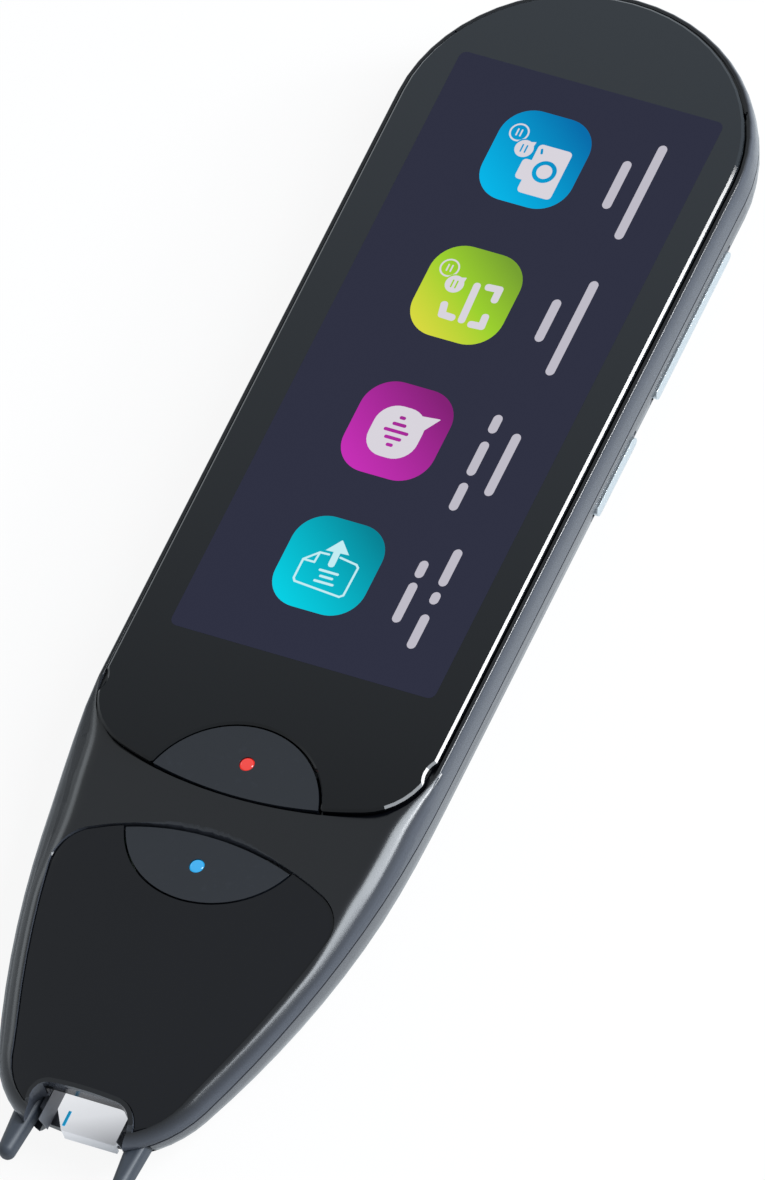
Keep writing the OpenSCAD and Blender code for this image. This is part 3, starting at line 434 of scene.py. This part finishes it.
def inside_outline(x, y):
    """How far a place lies inside the widest outline, and the level direction straight out of it."""
    side = 1 if x >= 0 else -1
    if y >= WAIST_Y:
        return HALF_WIDTH - abs(x), Vector((side, 0, 0))
    away = Vector((abs(x) - HALF_WIDTH + TAPER_RADIUS, y - WAIST_Y, 0))
    radius = TAPER_RADIUS
    if atan2(away.y, away.x) < -radians(TAPER_END):
        away = Vector((abs(x), y - NOSE_MIDDLE_Y, 0))
        radius = NOSE_RADIUS
    out = away.normalized()
    return radius - away.length, Vector((side * out.x, out.y, 0))


def crown_half_width(y):
    """Half of the crown's width between the rim's roundings."""
    reach = TAPER_RADIUS - rim_width(y)
    x = reach if y >= WAIST_Y else sqrt(reach ** 2 - (y - WAIST_Y) ** 2)
    if atan2(min(0, y - WAIST_Y), x) < -radians(TAPER_END):
        return sqrt(max(0.01, (NOSE_RADIUS - rim_width(y)) ** 2 - (y - NOSE_MIDDLE_Y) ** 2))
    return x + HALF_WIDTH - TAPER_RADIUS


def front_height(x, y):
    """Height of the front over the back: the rim's rounding, then the crown."""
    inset, _ = inside_outline(x, y)
    width = rim_width(y)
    rim = RIM_Z + (NOSE_RIM_Z - RIM_Z) * nose_share(y)
    if inset < width:
        widest = WIDE_Z + (NOSE_WIDE_Z - WIDE_Z) * nose_share(y)
        lean = 1 - max(0.0, inset) / width
        return widest + (rim - widest) * sqrt(1 - lean * lean)
    crest = RIM_Z + (CREST_Z - RIM_Z) * ease(WAIST_Y + 2, GLASS_LOW_Y + 2, y)
    return rim + (crest - rim) * (1 - min(1.0, (x / crown_half_width(y)) ** 2))


def soft_roll(y):
    """Width over which the front's shading rolls over towards its edge."""
    wider = ROLL_MORE * ease(WAIST_Y + 1, WAIST_Y - 9, y)
    return ROLL_WIDTH + wider - ROLL_WAIST * ease(-40, -52, y) - ROLL_TIP * ease(-68, -77, y)


def front_normal(x, y, roll):
    """The direction the front faces: rolled over towards its edge, and nearly level within."""
    inset, out = inside_outline(x, y)
    lean = max(0.0, min(STEEPEST, 1 - inset / roll))
    crown = CREST_Z - RIM_Z - (NOSE_RIM_Z - RIM_Z) * nose_share(y)
    fall = CROWN_SHADE * crown * 2 * x / crown_half_width(y) ** 2
    return (out * lean / sqrt(1 - lean * lean) + Vector((fall, 0, 1))).normalized()


def front_faces(mesh, drop):
    """Which faces lie on the outer front, in the region where it rolls and crowns."""
    chosen = []
    for face in mesh.polygons:
        x, y, z = face.center / MM
        facing = face.normal.dot(front_normal(x, y, rim_width(y))) > FRONT_FACING
        chosen.append(y < ROLL_START_Y and facing and abs(z - front_height(x, y) + drop) < FRONT_GAP)
    return chosen


def cut_front(piece, drop):
    """Cuts the front of a piece into a fine grid, so that it can shade as one curve."""
    take(piece)
    mesh = piece.data
    mesh.vertices.foreach_set("select", [False] * len(mesh.vertices))
    mesh.edges.foreach_set("select", [False] * len(mesh.edges))
    mesh.polygons.foreach_set("select", front_faces(mesh, drop))
    xs = [v.co.x / MM for v in mesh.vertices]
    ys = [v.co.y / MM for v in mesh.vertices if v.co.y / MM < ROLL_START_Y]
    bpy.ops.object.mode_set(mode="EDIT")
    bpy.ops.mesh.select_mode(type="FACE")
    bpy.ops.mesh.hide(unselected=True)
    for low, high, direction in ((min(xs), max(xs), (1, 0, 0)), (min(ys), ROLL_START_Y, (0, 1, 0))):
        for count in range(1, int((high - low) / GRID_STEP) + 1):
            at = (low + count * GRID_STEP) * MM
            bpy.ops.mesh.select_all(action="SELECT")
            bpy.ops.mesh.bisect(plane_co=tuple(at * c for c in direction), plane_no=direction)
    bpy.ops.mesh.reveal()
    bpy.ops.object.mode_set(mode="OBJECT")


def shade_front(piece, drop):
    """Gives the front its true curve's normals."""
    mesh = piece.data
    normals = [Vector(corner.vector) for corner in mesh.corner_normals]
    for face, on_front in zip(mesh.polygons, front_faces(mesh, drop)):
        if on_front:
            for corner in face.loop_indices:
                x, y, z = mesh.vertices[mesh.loops[corner].vertex_index].co / MM
                normals[corner] = front_normal(x, y, soft_roll(y))
    mesh.normals_split_custom_set(normals)


# ---------------------------------------------------------------- rounded versions of the parts
SHARP_ANGLE = 35
SMOOTH_ANGLE = 32
MERGE_GAP = 0.002            # millimetres
FLAT_ANGLE = 0.3
MOUTH_STEPS = 3
LEVEL_FACE, WALL_FACE = 0.8, 0.3     # upward share of a normal: at least this, and less than this
MOUTH_LOW_Z = 9


def merged_copy(node):
    """A part's own mesh as a new piece, with its loose triangles merged into one skin."""
    piece = bpy.data.objects.new(node + "_finished", parts[node].data.copy())
    bpy.context.scene.collection.objects.link(piece)
    take(piece)
    bpy.ops.object.mode_set(mode="EDIT")
    bpy.ops.mesh.select_all(action="SELECT")
    bpy.ops.mesh.remove_doubles(threshold=MERGE_GAP * MM)
    bpy.ops.mesh.dissolve_limited(angle_limit=radians(FLAT_ANGLE))
    bpy.ops.object.mode_set(mode="OBJECT")
    return piece


def round_edges(piece, width, steps):
    """Rounds every sharp edge."""
    take(piece)
    bevel = piece.modifiers.new("round", "BEVEL")
    bevel.width = width * MM
    bevel.segments = steps
    bevel.limit_method = "ANGLE"
    bevel.angle_limit = radians(SHARP_ANGLE)
    bevel.miter_outer = "MITER_ARC"
    bpy.ops.object.modifier_apply(modifier=bevel.name)


def round_chosen(piece, weights, width, steps, clamp=True):
    """Rounds only the edges with a weight."""
    attribute = piece.data.attributes.new("bevel_weight_edge", "FLOAT", "EDGE")
    attribute.data.foreach_set("value", weights)
    take(piece)
    bevel = piece.modifiers.new("round", "BEVEL")
    bevel.width = width * MM
    bevel.segments = steps
    bevel.limit_method = "WEIGHT"
    bevel.use_clamp_overlap = clamp
    bpy.ops.object.modifier_apply(modifier=bevel.name)
    piece.data.attributes.remove(piece.data.attributes["bevel_weight_edge"])


def faces_beside_edges(mesh):
    """The faces on both sides of each edge, in the edges' order."""
    beside = {}
    for face in mesh.polygons:
        for key in face.edge_keys:
            beside.setdefault(key, []).append(face)
    return [beside.get(tuple(sorted(edge.vertices)), []) for edge in mesh.edges]


def sharp_edges(mesh):
    """Which edges have two faces that turn sharply."""
    limit = radians(SHARP_ANGLE)
    return [len(faces) == 2 and faces[0].normal.angle(faces[1].normal, 0) > limit
            for faces in faces_beside_edges(mesh)]


def round_mouths(piece, width):
    """Rounds only the edges where the front turns down into a pocket or a gap."""
    mesh = piece.data
    weights = [0.0] * len(mesh.edges)
    for edge, faces in zip(mesh.edges, faces_beside_edges(mesh)):
        if len(faces) != 2:
            continue
        top, wall = sorted(faces, key=lambda face: -face.normal.z)
        middle = sum((mesh.vertices[v].co for v in edge.vertices), Vector()) / 2
        turns_down = top.normal.z > LEVEL_FACE and abs(wall.normal.z) < WALL_FACE
        at_front = middle.z > MOUTH_LOW_Z * MM
        if turns_down and at_front and (top.center - middle).dot(wall.normal) < 0:
            weights[edge.index] = 1.0
    round_chosen(piece, weights, width, MOUTH_STEPS)


def soften(piece):
    """Smooth shading over soft edges, with normals that lean to the large faces."""
    take(piece)
    bpy.ops.object.shade_smooth_by_angle(angle=radians(SMOOTH_ANGLE))
    weighted = piece.modifiers.new("weighted", "WEIGHTED_NORMAL")
    weighted.keep_sharp = True
    weighted.weight = 60
    bpy.ops.object.modifier_apply(modifier=weighted.name)


def body_of(node):
    return next(body for body, members in frame["record"]["behaviour"]["bodies"].items() if node in members)


def show(piece, node):
    """Shows a piece in place of a part, on the same body and in the same finish."""
    dress(piece, FINISH[SLOT_OF[node]], body_of(node))
    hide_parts(node)
    return piece


def finished(node, width=0.0, steps=3, drop=None):
    """Shows a rounded, softly shaded copy in place of a part. A drop marks a piece of the nose's front."""
    piece = merged_copy(node)
    if drop is None:
        if width:
            round_edges(piece, width, steps)
        soften(piece)
    else:
        round_mouths(piece, width)
        cut_front(piece, drop)
        soften(piece)
        shade_front(piece, drop)
    return show(piece, node)


GLEAM = Vector((0.707, 0, 0.707))        # the way a polished edge faces where it gleams
GLEAM_SHARE = 0.86
LOW_CORNER_X, LOW_CORNER_Y = 18.6, -18
HIGH_CORNER_X, HIGH_CORNER_Y = 12, 54
FADE_START_Y, FADE_END_Y = 60, 72
CHAMFER_LOW, CHAMFER_HIGH = 0.4, 0.95    # upward share of a chamfer's normal


def polish_corners(piece):
    """Turns the shading of the chamfer at the glass's right corners towards the gleam."""
    mesh = piece.data
    normals = [Vector(corner.vector) for corner in mesh.corner_normals]
    for face in mesh.polygons:
        x, y, _ = face.center / MM
        at_corner = (x > LOW_CORNER_X and y < LOW_CORNER_Y) or (x > HIGH_CORNER_X and y > HIGH_CORNER_Y)
        if at_corner and CHAMFER_LOW < face.normal.z < CHAMFER_HIGH:
            share = GLEAM_SHARE * (1 - ease(FADE_START_Y, FADE_END_Y, y))
            for corner in face.loop_indices:
                normals[corner] = (face.normal * (1 - share) + GLEAM * share).normalized()
    mesh.normals_split_custom_set(normals)


finished("front_frame", 0.28, drop=0.0)
finished("rear_housing")
finished("nose_panel", 0.1, drop=PANEL_DROP)
polish_corners(finished("cover_glass", 0.27, 1))
finished("upper_button", 0.16, 3)
finished("lower_button", 0.14, drop=PANEL_DROP)
finished("volume_key", 0.18, 3)
finished("power_key", 0.18, 3)

FEET_ROOT_Y = -73
feet = merged_copy("tip_fork")
spots = feet.data.vertices
outer = [max(spots[v].co.y for v in edge.vertices) < FEET_ROOT_Y * MM for edge in feet.data.edges]
sharp = sharp_edges(feet.data)
round_chosen(feet, [float(a and b) for a, b in zip(outer, sharp)], 0.95, 6, clamp=False)
soften(feet)
show(feet, "tip_fork")
finished("red_light_pipe", 0.35, 5)
finished("blue_light_pipe", 0.35, 5)
finished("scan_diffuser", 0.08, 2)
finished("camera_ring", 0.15, 3)
finished("camera_window", 0.12, 3)


# Smooth light-grey sheets on the side walls of the scanning chamber: painted light, lighter than the walls
# where the chamber's shade falls
SHEET_PLACE = (5.06, -73.2, 6.55)
SHEET_SIZE = (0.07, 9.4, 3.3)
SHEET_TRIM = 0.6             # how far the lower outer edge is drawn in
painted_light_sheets = []
for side in (-1, 1):
    place = (side * SHEET_PLACE[0] * MM, SHEET_PLACE[1] * MM, SHEET_PLACE[2] * MM)
    bpy.ops.mesh.primitive_cube_add(size=1, location=place)
    painted_light_sheet = bpy.context.object
    painted_light_sheet.scale = [length * MM for length in SHEET_SIZE]
    bpy.ops.object.transform_apply(location=True, rotation=True, scale=True)
    for vertex in painted_light_sheet.data.vertices:
        if vertex.co.y < SHEET_PLACE[1] * MM and vertex.co.z < SHEET_PLACE[2] * MM:
            vertex.co.y += SHEET_TRIM * MM
    painted_light_sheets.append(painted_light_sheet)
dress(join(painted_light_sheets, "chamber_painted_light_sheets"), moulded("painted_light_sheet", (104, 106, 112), 0.45))


# ---------------------------------------------------------------- the lit menu
GLASS_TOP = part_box("cover_glass")[1].z / MM
PANEL_MIDDLE = (0.3, 26.3)
PANEL_SIZE = (34.6, 81.9)
LAYER = 0.01         # between one printed layer and the next
DISC_SIDES = 40
SIGN_CORNER_STEPS = 4


def layer_height(layer):
    return (GLASS_TOP + LAYER * layer) * MM


def plate(middle, size, corner, layer, steps=6, turn=0.0):
    """A flat rounded rectangle over the glass, across the pen by size[0] and along it by size[1]."""
    place = (middle[0] * MM, middle[1] * MM, layer_height(layer))
    bpy.ops.mesh.primitive_plane_add(size=1, location=place)
    piece = bpy.context.object
    piece.scale = (size[0] * MM, size[1] * MM, 1)
    bpy.ops.object.transform_apply(location=False, rotation=False, scale=True)
    if corner:
        bpy.ops.object.mode_set(mode="EDIT")
        bpy.ops.mesh.select_all(action="SELECT")
        bpy.ops.mesh.bevel(offset=corner * MM, segments=steps, affect="VERTICES")
        bpy.ops.object.mode_set(mode="OBJECT")
    piece.rotation_euler.z = turn
    return piece


def disc(middle, radius, layer):
    bpy.ops.mesh.primitive_circle_add(
        vertices=DISC_SIDES, radius=radius * MM, fill_type="NGON",
        location=(middle[0] * MM, middle[1] * MM, layer_height(layer)))
    return bpy.context.object


def hoop(middle, radius, width, layer):
    """A ring: a disc whose inner part is inset and taken away."""
    piece = disc(middle, radius, layer)
    bpy.ops.object.mode_set(mode="EDIT")
    bpy.ops.mesh.select_all(action="SELECT")
    bpy.ops.mesh.inset(thickness=width * MM, depth=0)
    bpy.ops.mesh.delete(type="FACE")
    bpy.ops.object.mode_set(mode="OBJECT")
    return piece


class Sign:
    """A sign on a tile, drawn with u to the reader's right and v upwards, from the tile's middle."""

    def __init__(self, middle):
        self.middle = middle
        self.marks = []      # in the sign's white
        self.cuts = []       # in the tile's own colour, over the white

    def at(self, u, v):
        """A place on the sign as a place on the pen."""
        return (self.middle[0] - v, self.middle[1] + u)

    def keep(self, piece, cut):
        (self.cuts if cut else self.marks).append(piece)

    def layer(self, cut=False, over=False):
        """White lies on the tile, a cut on the white, and a second white with its cuts over both."""
        return 3 + (1 if cut else 0) + (2 if over else 0)

    def bar(self, u, v, wide, high, corner, turn=0.0, cut=False, over=False, steps=SIGN_CORNER_STEPS):
        self.keep(plate(self.at(u, v), (high, wide), corner, self.layer(cut, over), steps, turn), cut)

    def stroke(self, start, end, width, cut=False):
        """A round-ended line from one place to another."""
        du, dv = end[0] - start[0], end[1] - start[1]
        middle = ((start[0] + end[0]) / 2, (start[1] + end[1]) / 2)
        self.bar(*middle, hypot(du, dv) + width, width, width * 0.45, atan2(dv, du), cut)

    def path(self, points, width):
        for start, end in zip(points, points[1:]):
            self.stroke(start, end, width)

    def dot(self, u, v, radius, cut=False, over=False):
        self.keep(disc(self.at(u, v), radius, self.layer(cut, over)), cut)

    def ring(self, u, v, radius, width):
        self.marks.append(hoop(self.at(u, v), radius, width, self.layer()))

    def wedge(self, tip, base, width, over=False):
        """A triangle from the middle of its base to its tip, which is a little blunt."""
        du, dv = tip[0] - base[0], tip[1] - base[1]
        piece = plate((0, 0), (width, hypot(du, dv)), 0, self.layer(over=over))
        take(piece)
        bpy.ops.object.transform_apply(location=False, rotation=True, scale=True)
        for vertex in piece.data.vertices:
            if vertex.co.y > 0:
                vertex.co.x *= 0.04
        piece.rotation_euler.z = atan2(dv, du)
        x, y = self.at((tip[0] + base[0]) / 2, (tip[1] + base[1]) / 2)
        piece.location.x, piece.location.y = x * MM, y * MM
        self.marks.append(piece)


def draw_bubbles(g, u, v):
    """Two speech bubbles, one outlined and one filled, with plain lines for words."""
    line = (0.2, 0.09)       # width and corner of a word's line
    g.ring(u + 1.87, v + 1.5, 1.24, 0.22)
    g.bar(u + 1.87, v + 1.75, 1.0, *line)
    g.bar(u + 1.87, v + 1.25, 1.0, *line)
    g.dot(u, v, 1.36, cut=True)
    g.dot(u, v, 1.17, over=True)
    g.wedge((u + 1.2, v - 1.05), (u + 0.4, v - 0.35), 1.5, over=True)
    g.bar(u, v + 0.3, 1.1, *line, cut=True, over=True)
    g.bar(u, v - 0.25, 1.1, *line, cut=True, over=True)


def draw_camera(g):
    g.bar(-1.25, -1.8, 6.8, 4.4, 0.55)
    g.bar(-1.6, 0.6, 2.8, 1.7, 0.5)
    g.dot(-1.26, -1.75, 1.5, cut=True)
    g.dot(-1.26, -1.75, 0.96, over=True)
    g.stroke((1.0, -0.35), (1.45, -0.2), 0.3, cut=True)
    draw_bubbles(g, 0.98, 1.95)


def draw_scan(g):
    width = 0.92
    g.stroke((-3.25, -0.9), (1.5, -0.68), width)
    for corner, first, second in (
            ((1.85, -3.5), (1.75, -2.1), (0.4, -3.52)),
            ((-3.25, 1.72), (-1.95, 2.0), (-3.3, 0.4)),
            ((-3.38, -3.55), (-3.48, -2.25), (-2.1, -3.45))):
        g.path([first, corner, second], width)
    draw_bubbles(g, 0.96, 2.01)


def draw_speech(g):
    g.bar(-0.2, 0.1, 7.0, 6.4, 2.7, steps=8)
    g.wedge((2.9, -4.3), (1.3, -1.6), 3.0)
    for step, tall in enumerate((0.9, 2.2, 3.2, 1.8, 0.8)):
        g.bar(-2.0 + 0.95 * step, 0.1, 0.45, tall, 0.2, cut=True)


def draw_page(g):
    width = 0.27
    outline = [
        (-2.7, 3.3), (-3.08, 3.02), (-3.5, -3.0), (-3.15, -3.42), (0.75, -3.5), (1.08, -3.15), (1.4, -0.9)]
    g.path(outline, width)
    g.path([(1.4, 0.6), (1.35, 1.75), (-0.05, 3.3), (-2.7, 3.3)], width)
    g.path([(-0.05, 3.3), (-0.05, 1.85), (1.35, 1.75)], width)
    g.stroke((0.3, -0.25), (2.4, -0.2), 0.85)
    g.wedge((3.6, -0.15), (1.9, -0.25), 3.0)
    for step, wide in enumerate((2.3, 1.5, 2.3)):
        u = -2.3 + 0.75 * step
        g.stroke((u, -0.4 - wide / 2), (u, -0.4 + wide / 2), 0.32)


TILE_X = -2.08
TILE_SIZE = (11.8, 12.6)
TILE_CORNER = 4.0
TILE_SLOPE = (0.6, 0.8)
TILE_SLOPE_LENGTH = 13.0
MENU = [
    # name, place along the pen, colours along the slope, sign, word bars of both lines (place, length)
    ("camera", 56.06, [(0, 180, 230), (0, 108, 170)], draw_camera, ([(55.75, 6.8)], [(55.65, 13.4)])),
    ("scan", 36.64, [(214, 216, 62), (156, 208, 44), (118, 160, 46)], draw_scan,
     ([(36.35, 6.0)], [(36.25, 13.4)])),
    ("speech", 17.27, [(196, 46, 180), (130, 30, 116)], draw_speech,
     ([(11.3, 3.9), (16.7, 4.8), (21.6, 2.6)], [(16.8, 8.8)])),
    ("page", -1.85, [(0, 206, 226), (0, 130, 148)], draw_page,
     ([(-3.7, 5.6), (1.0, 2.4)], [(-6.8, 4.8), (-2.1, 1.7), (2.2, 5.2)])),
]
LABEL_X = (8.75, 11.95)
LABEL_HIGH = 1.15

paint_panel = lit("menu_ground", (45, 47, 64))
paint_sign = lit("menu_sign", (216, 212, 220))
paint_label = lit("menu_label", (190, 187, 198))
paint_line = lit("menu_line", (196, 236, 242))

panel = plate(PANEL_MIDDLE, PANEL_SIZE, 0.9, 1, 4)
dress(settle(panel, "menu_ground"), paint_panel)
labels = []
for name, along, colours, draw, lines in MENU:
    paint = lit(
        "tile_" + name, *colours, middle=(TILE_X, along), direction=TILE_SLOPE, length=TILE_SLOPE_LENGTH)
    tile = plate((TILE_X, along), TILE_SIZE, TILE_CORNER, 2, 12)
    dress(settle(tile, "tile_" + name), paint)
    sign = Sign((TILE_X, along))
    draw(sign)
    dress(join(sign.marks, "sign_" + name), paint_line if name == "page" else paint_sign)
    if sign.cuts:
        dress(join(sign.cuts, "sign_" + name + "_cut"), paint)
    for x, words in zip(LABEL_X, lines):
        for middle, length in words:
            labels.append(plate((x, middle), (LABEL_HIGH, length), 0.6, 2, 5))
dress(join(labels, "menu_labels"), paint_label)


# ---------------------------------------------------------------- floor, light and camera
LAMP_TARGET = (0, 0, 0.012)
WHITE = (1, 1, 1)
COOL_WHITE = (0.88, 0.94, 1.0)
GLOSS_WHITE = (0.88, 0.95, 1.0)
LAMPS = [
    # name, place, size, power, colour
    ("edge_light", (0.826, 0.403, 0.40), (0.14, 0.16), 3.4, WHITE),           # on the glass's edge
    ("tall_box", (0.735, 0.27, 0.62), (0.30, 0.72), 12.5, COOL_WHITE),        # on the flank
    ("left_box", (-0.90, 0.24, 0.38), (0.28, 0.26), 0.55, GLOSS_WHITE),       # weak, from the left
]


def soft_lamp(name, place, size, energy, colour):
    lamp = bpy.data.lights.new(name, "AREA")
    lamp.shape = "RECTANGLE"
    lamp.size, lamp.size_y = size
    lamp.energy = energy
    lamp.color = colour
    holder = bpy.data.objects.new(name, lamp)
    bpy.context.scene.collection.objects.link(holder)
    holder.location = place
    holder.rotation_euler = (Vector(place) - Vector(LAMP_TARGET)).to_track_quat("Z", "Y").to_euler()


def seen_directly(tree):
    """1 for rays from the camera and for mirrored and transmitted ones, 0 for scattered light."""
    rays = tree.nodes.new("ShaderNodeLightPath")
    first = math_node(tree, "MAXIMUM", rays.outputs["Is Camera Ray"], rays.outputs["Is Glossy Ray"])
    return math_node(tree, "MAXIMUM", first, rays.outputs["Is Transmission Ray"])


def background_colour(tree):
    """White for the camera, and a cooler white in gloss."""
    rays = tree.nodes.new("ShaderNodeLightPath")
    node = tree.nodes.new("ShaderNodeMix")
    node.data_type = "RGBA"
    wire(tree, rays.outputs["Is Camera Ray"], node.inputs["Factor"])
    node.inputs["A"].default_value = (*GLOSS_WHITE, 1)
    node.inputs["B"].default_value = (*WHITE, 1)
    return node.outputs["Result"]


SKY_STRENGTH = 0.3
FLOOR_SIZE = 6               # metres
FLOOR_DROP = 0.02 * MM
FLOOR_GLOW = 0.91            # the rest of the floor's white is its own, and takes the shadow

world = bpy.data.worlds.new("studio")
bpy.context.scene.world = world
world.use_nodes = True
sky = world.node_tree
sky_light = sky.nodes["Background"]
sky_light.inputs["Color"].default_value = (0.93, 0.96, 1.0, 1)
sky_light.inputs["Strength"].default_value = SKY_STRENGTH
sky_white = sky.nodes.new("ShaderNodeBackground")
wire(sky, background_colour(sky), sky_white.inputs["Color"])
sky_white.inputs["Strength"].default_value = 1.0
sky_mix = sky.nodes.new("ShaderNodeMixShader")
wire(sky, seen_directly(sky), sky_mix.inputs["Fac"])
wire(sky, sky_light.outputs[0], sky_mix.inputs[1])
wire(sky, sky_white.outputs[0], sky_mix.inputs[2])
wire(sky, sky_mix.outputs[0], sky.nodes["World Output"].inputs["Surface"])

bpy.ops.mesh.primitive_plane_add(size=FLOOR_SIZE, location=(0, 0, cad_size[0][2] - FLOOR_DROP))
floor = settle(bpy.context.object, "floor")
floor_material, tree, shader = new_material("pale_floor")
shader.inputs["Base Color"].default_value = (0.93, 0.93, 0.94, 1)
shader.inputs["Roughness"].default_value = 0.85
shader.inputs["Specular IOR Level"].default_value = 0.1
glow = tree.nodes.new("ShaderNodeEmission")
wire(tree, background_colour(tree), glow.inputs["Color"])
blend = tree.nodes.new("ShaderNodeMixShader")
share = math_node(tree, "MULTIPLY", seen_directly(tree), FLOOR_GLOW)
wire(tree, share, blend.inputs["Fac"])
wire(tree, shader.outputs[0], blend.inputs[1])
wire(tree, glow.outputs[0], blend.inputs[2])
wire(tree, blend.outputs[0], tree.nodes["Material Output"].inputs["Surface"])
floor.data.materials.append(floor_material)

for lamp in LAMPS:
    soft_lamp(*lamp)

VIEW_TARGET = Vector((5.39, -2.84, 12.32)) * MM
VIEW_BACK = Vector((0.3949, -0.4026, 0.8258)).normalized()
VIEW_RIGHT = Vector((0.8829, 0.4148, -0.2199))
VIEW_RIGHT = (VIEW_RIGHT - VIEW_BACK * VIEW_RIGHT.dot(VIEW_BACK)).normalized()
VIEW_UP = VIEW_BACK.cross(VIEW_RIGHT)
VIEW_DISTANCE = 3.6          # far away, so that lines stay nearly parallel
VIEW_HEIGHT = 136.26 * MM
SENSOR_HEIGHT = 36
camera = bpy.data.cameras.new("camera")
camera.sensor_fit = "VERTICAL"
camera.sensor_height = SENSOR_HEIGHT
camera.lens = SENSOR_HEIGHT * VIEW_DISTANCE / VIEW_HEIGHT
camera.clip_start = 0.1
camera.clip_end = 50
stand = bpy.data.objects.new("camera", camera)
bpy.context.scene.collection.objects.link(stand)
turn = Matrix((VIEW_RIGHT, VIEW_UP, VIEW_BACK)).transposed()
stand.matrix_world = Matrix.Translation(VIEW_TARGET + VIEW_BACK * VIEW_DISTANCE) @ turn.to_4x4()
bpy.context.scene.camera = stand
bpy.context.scene.view_settings.view_transform = "Standard"

drop_selection()
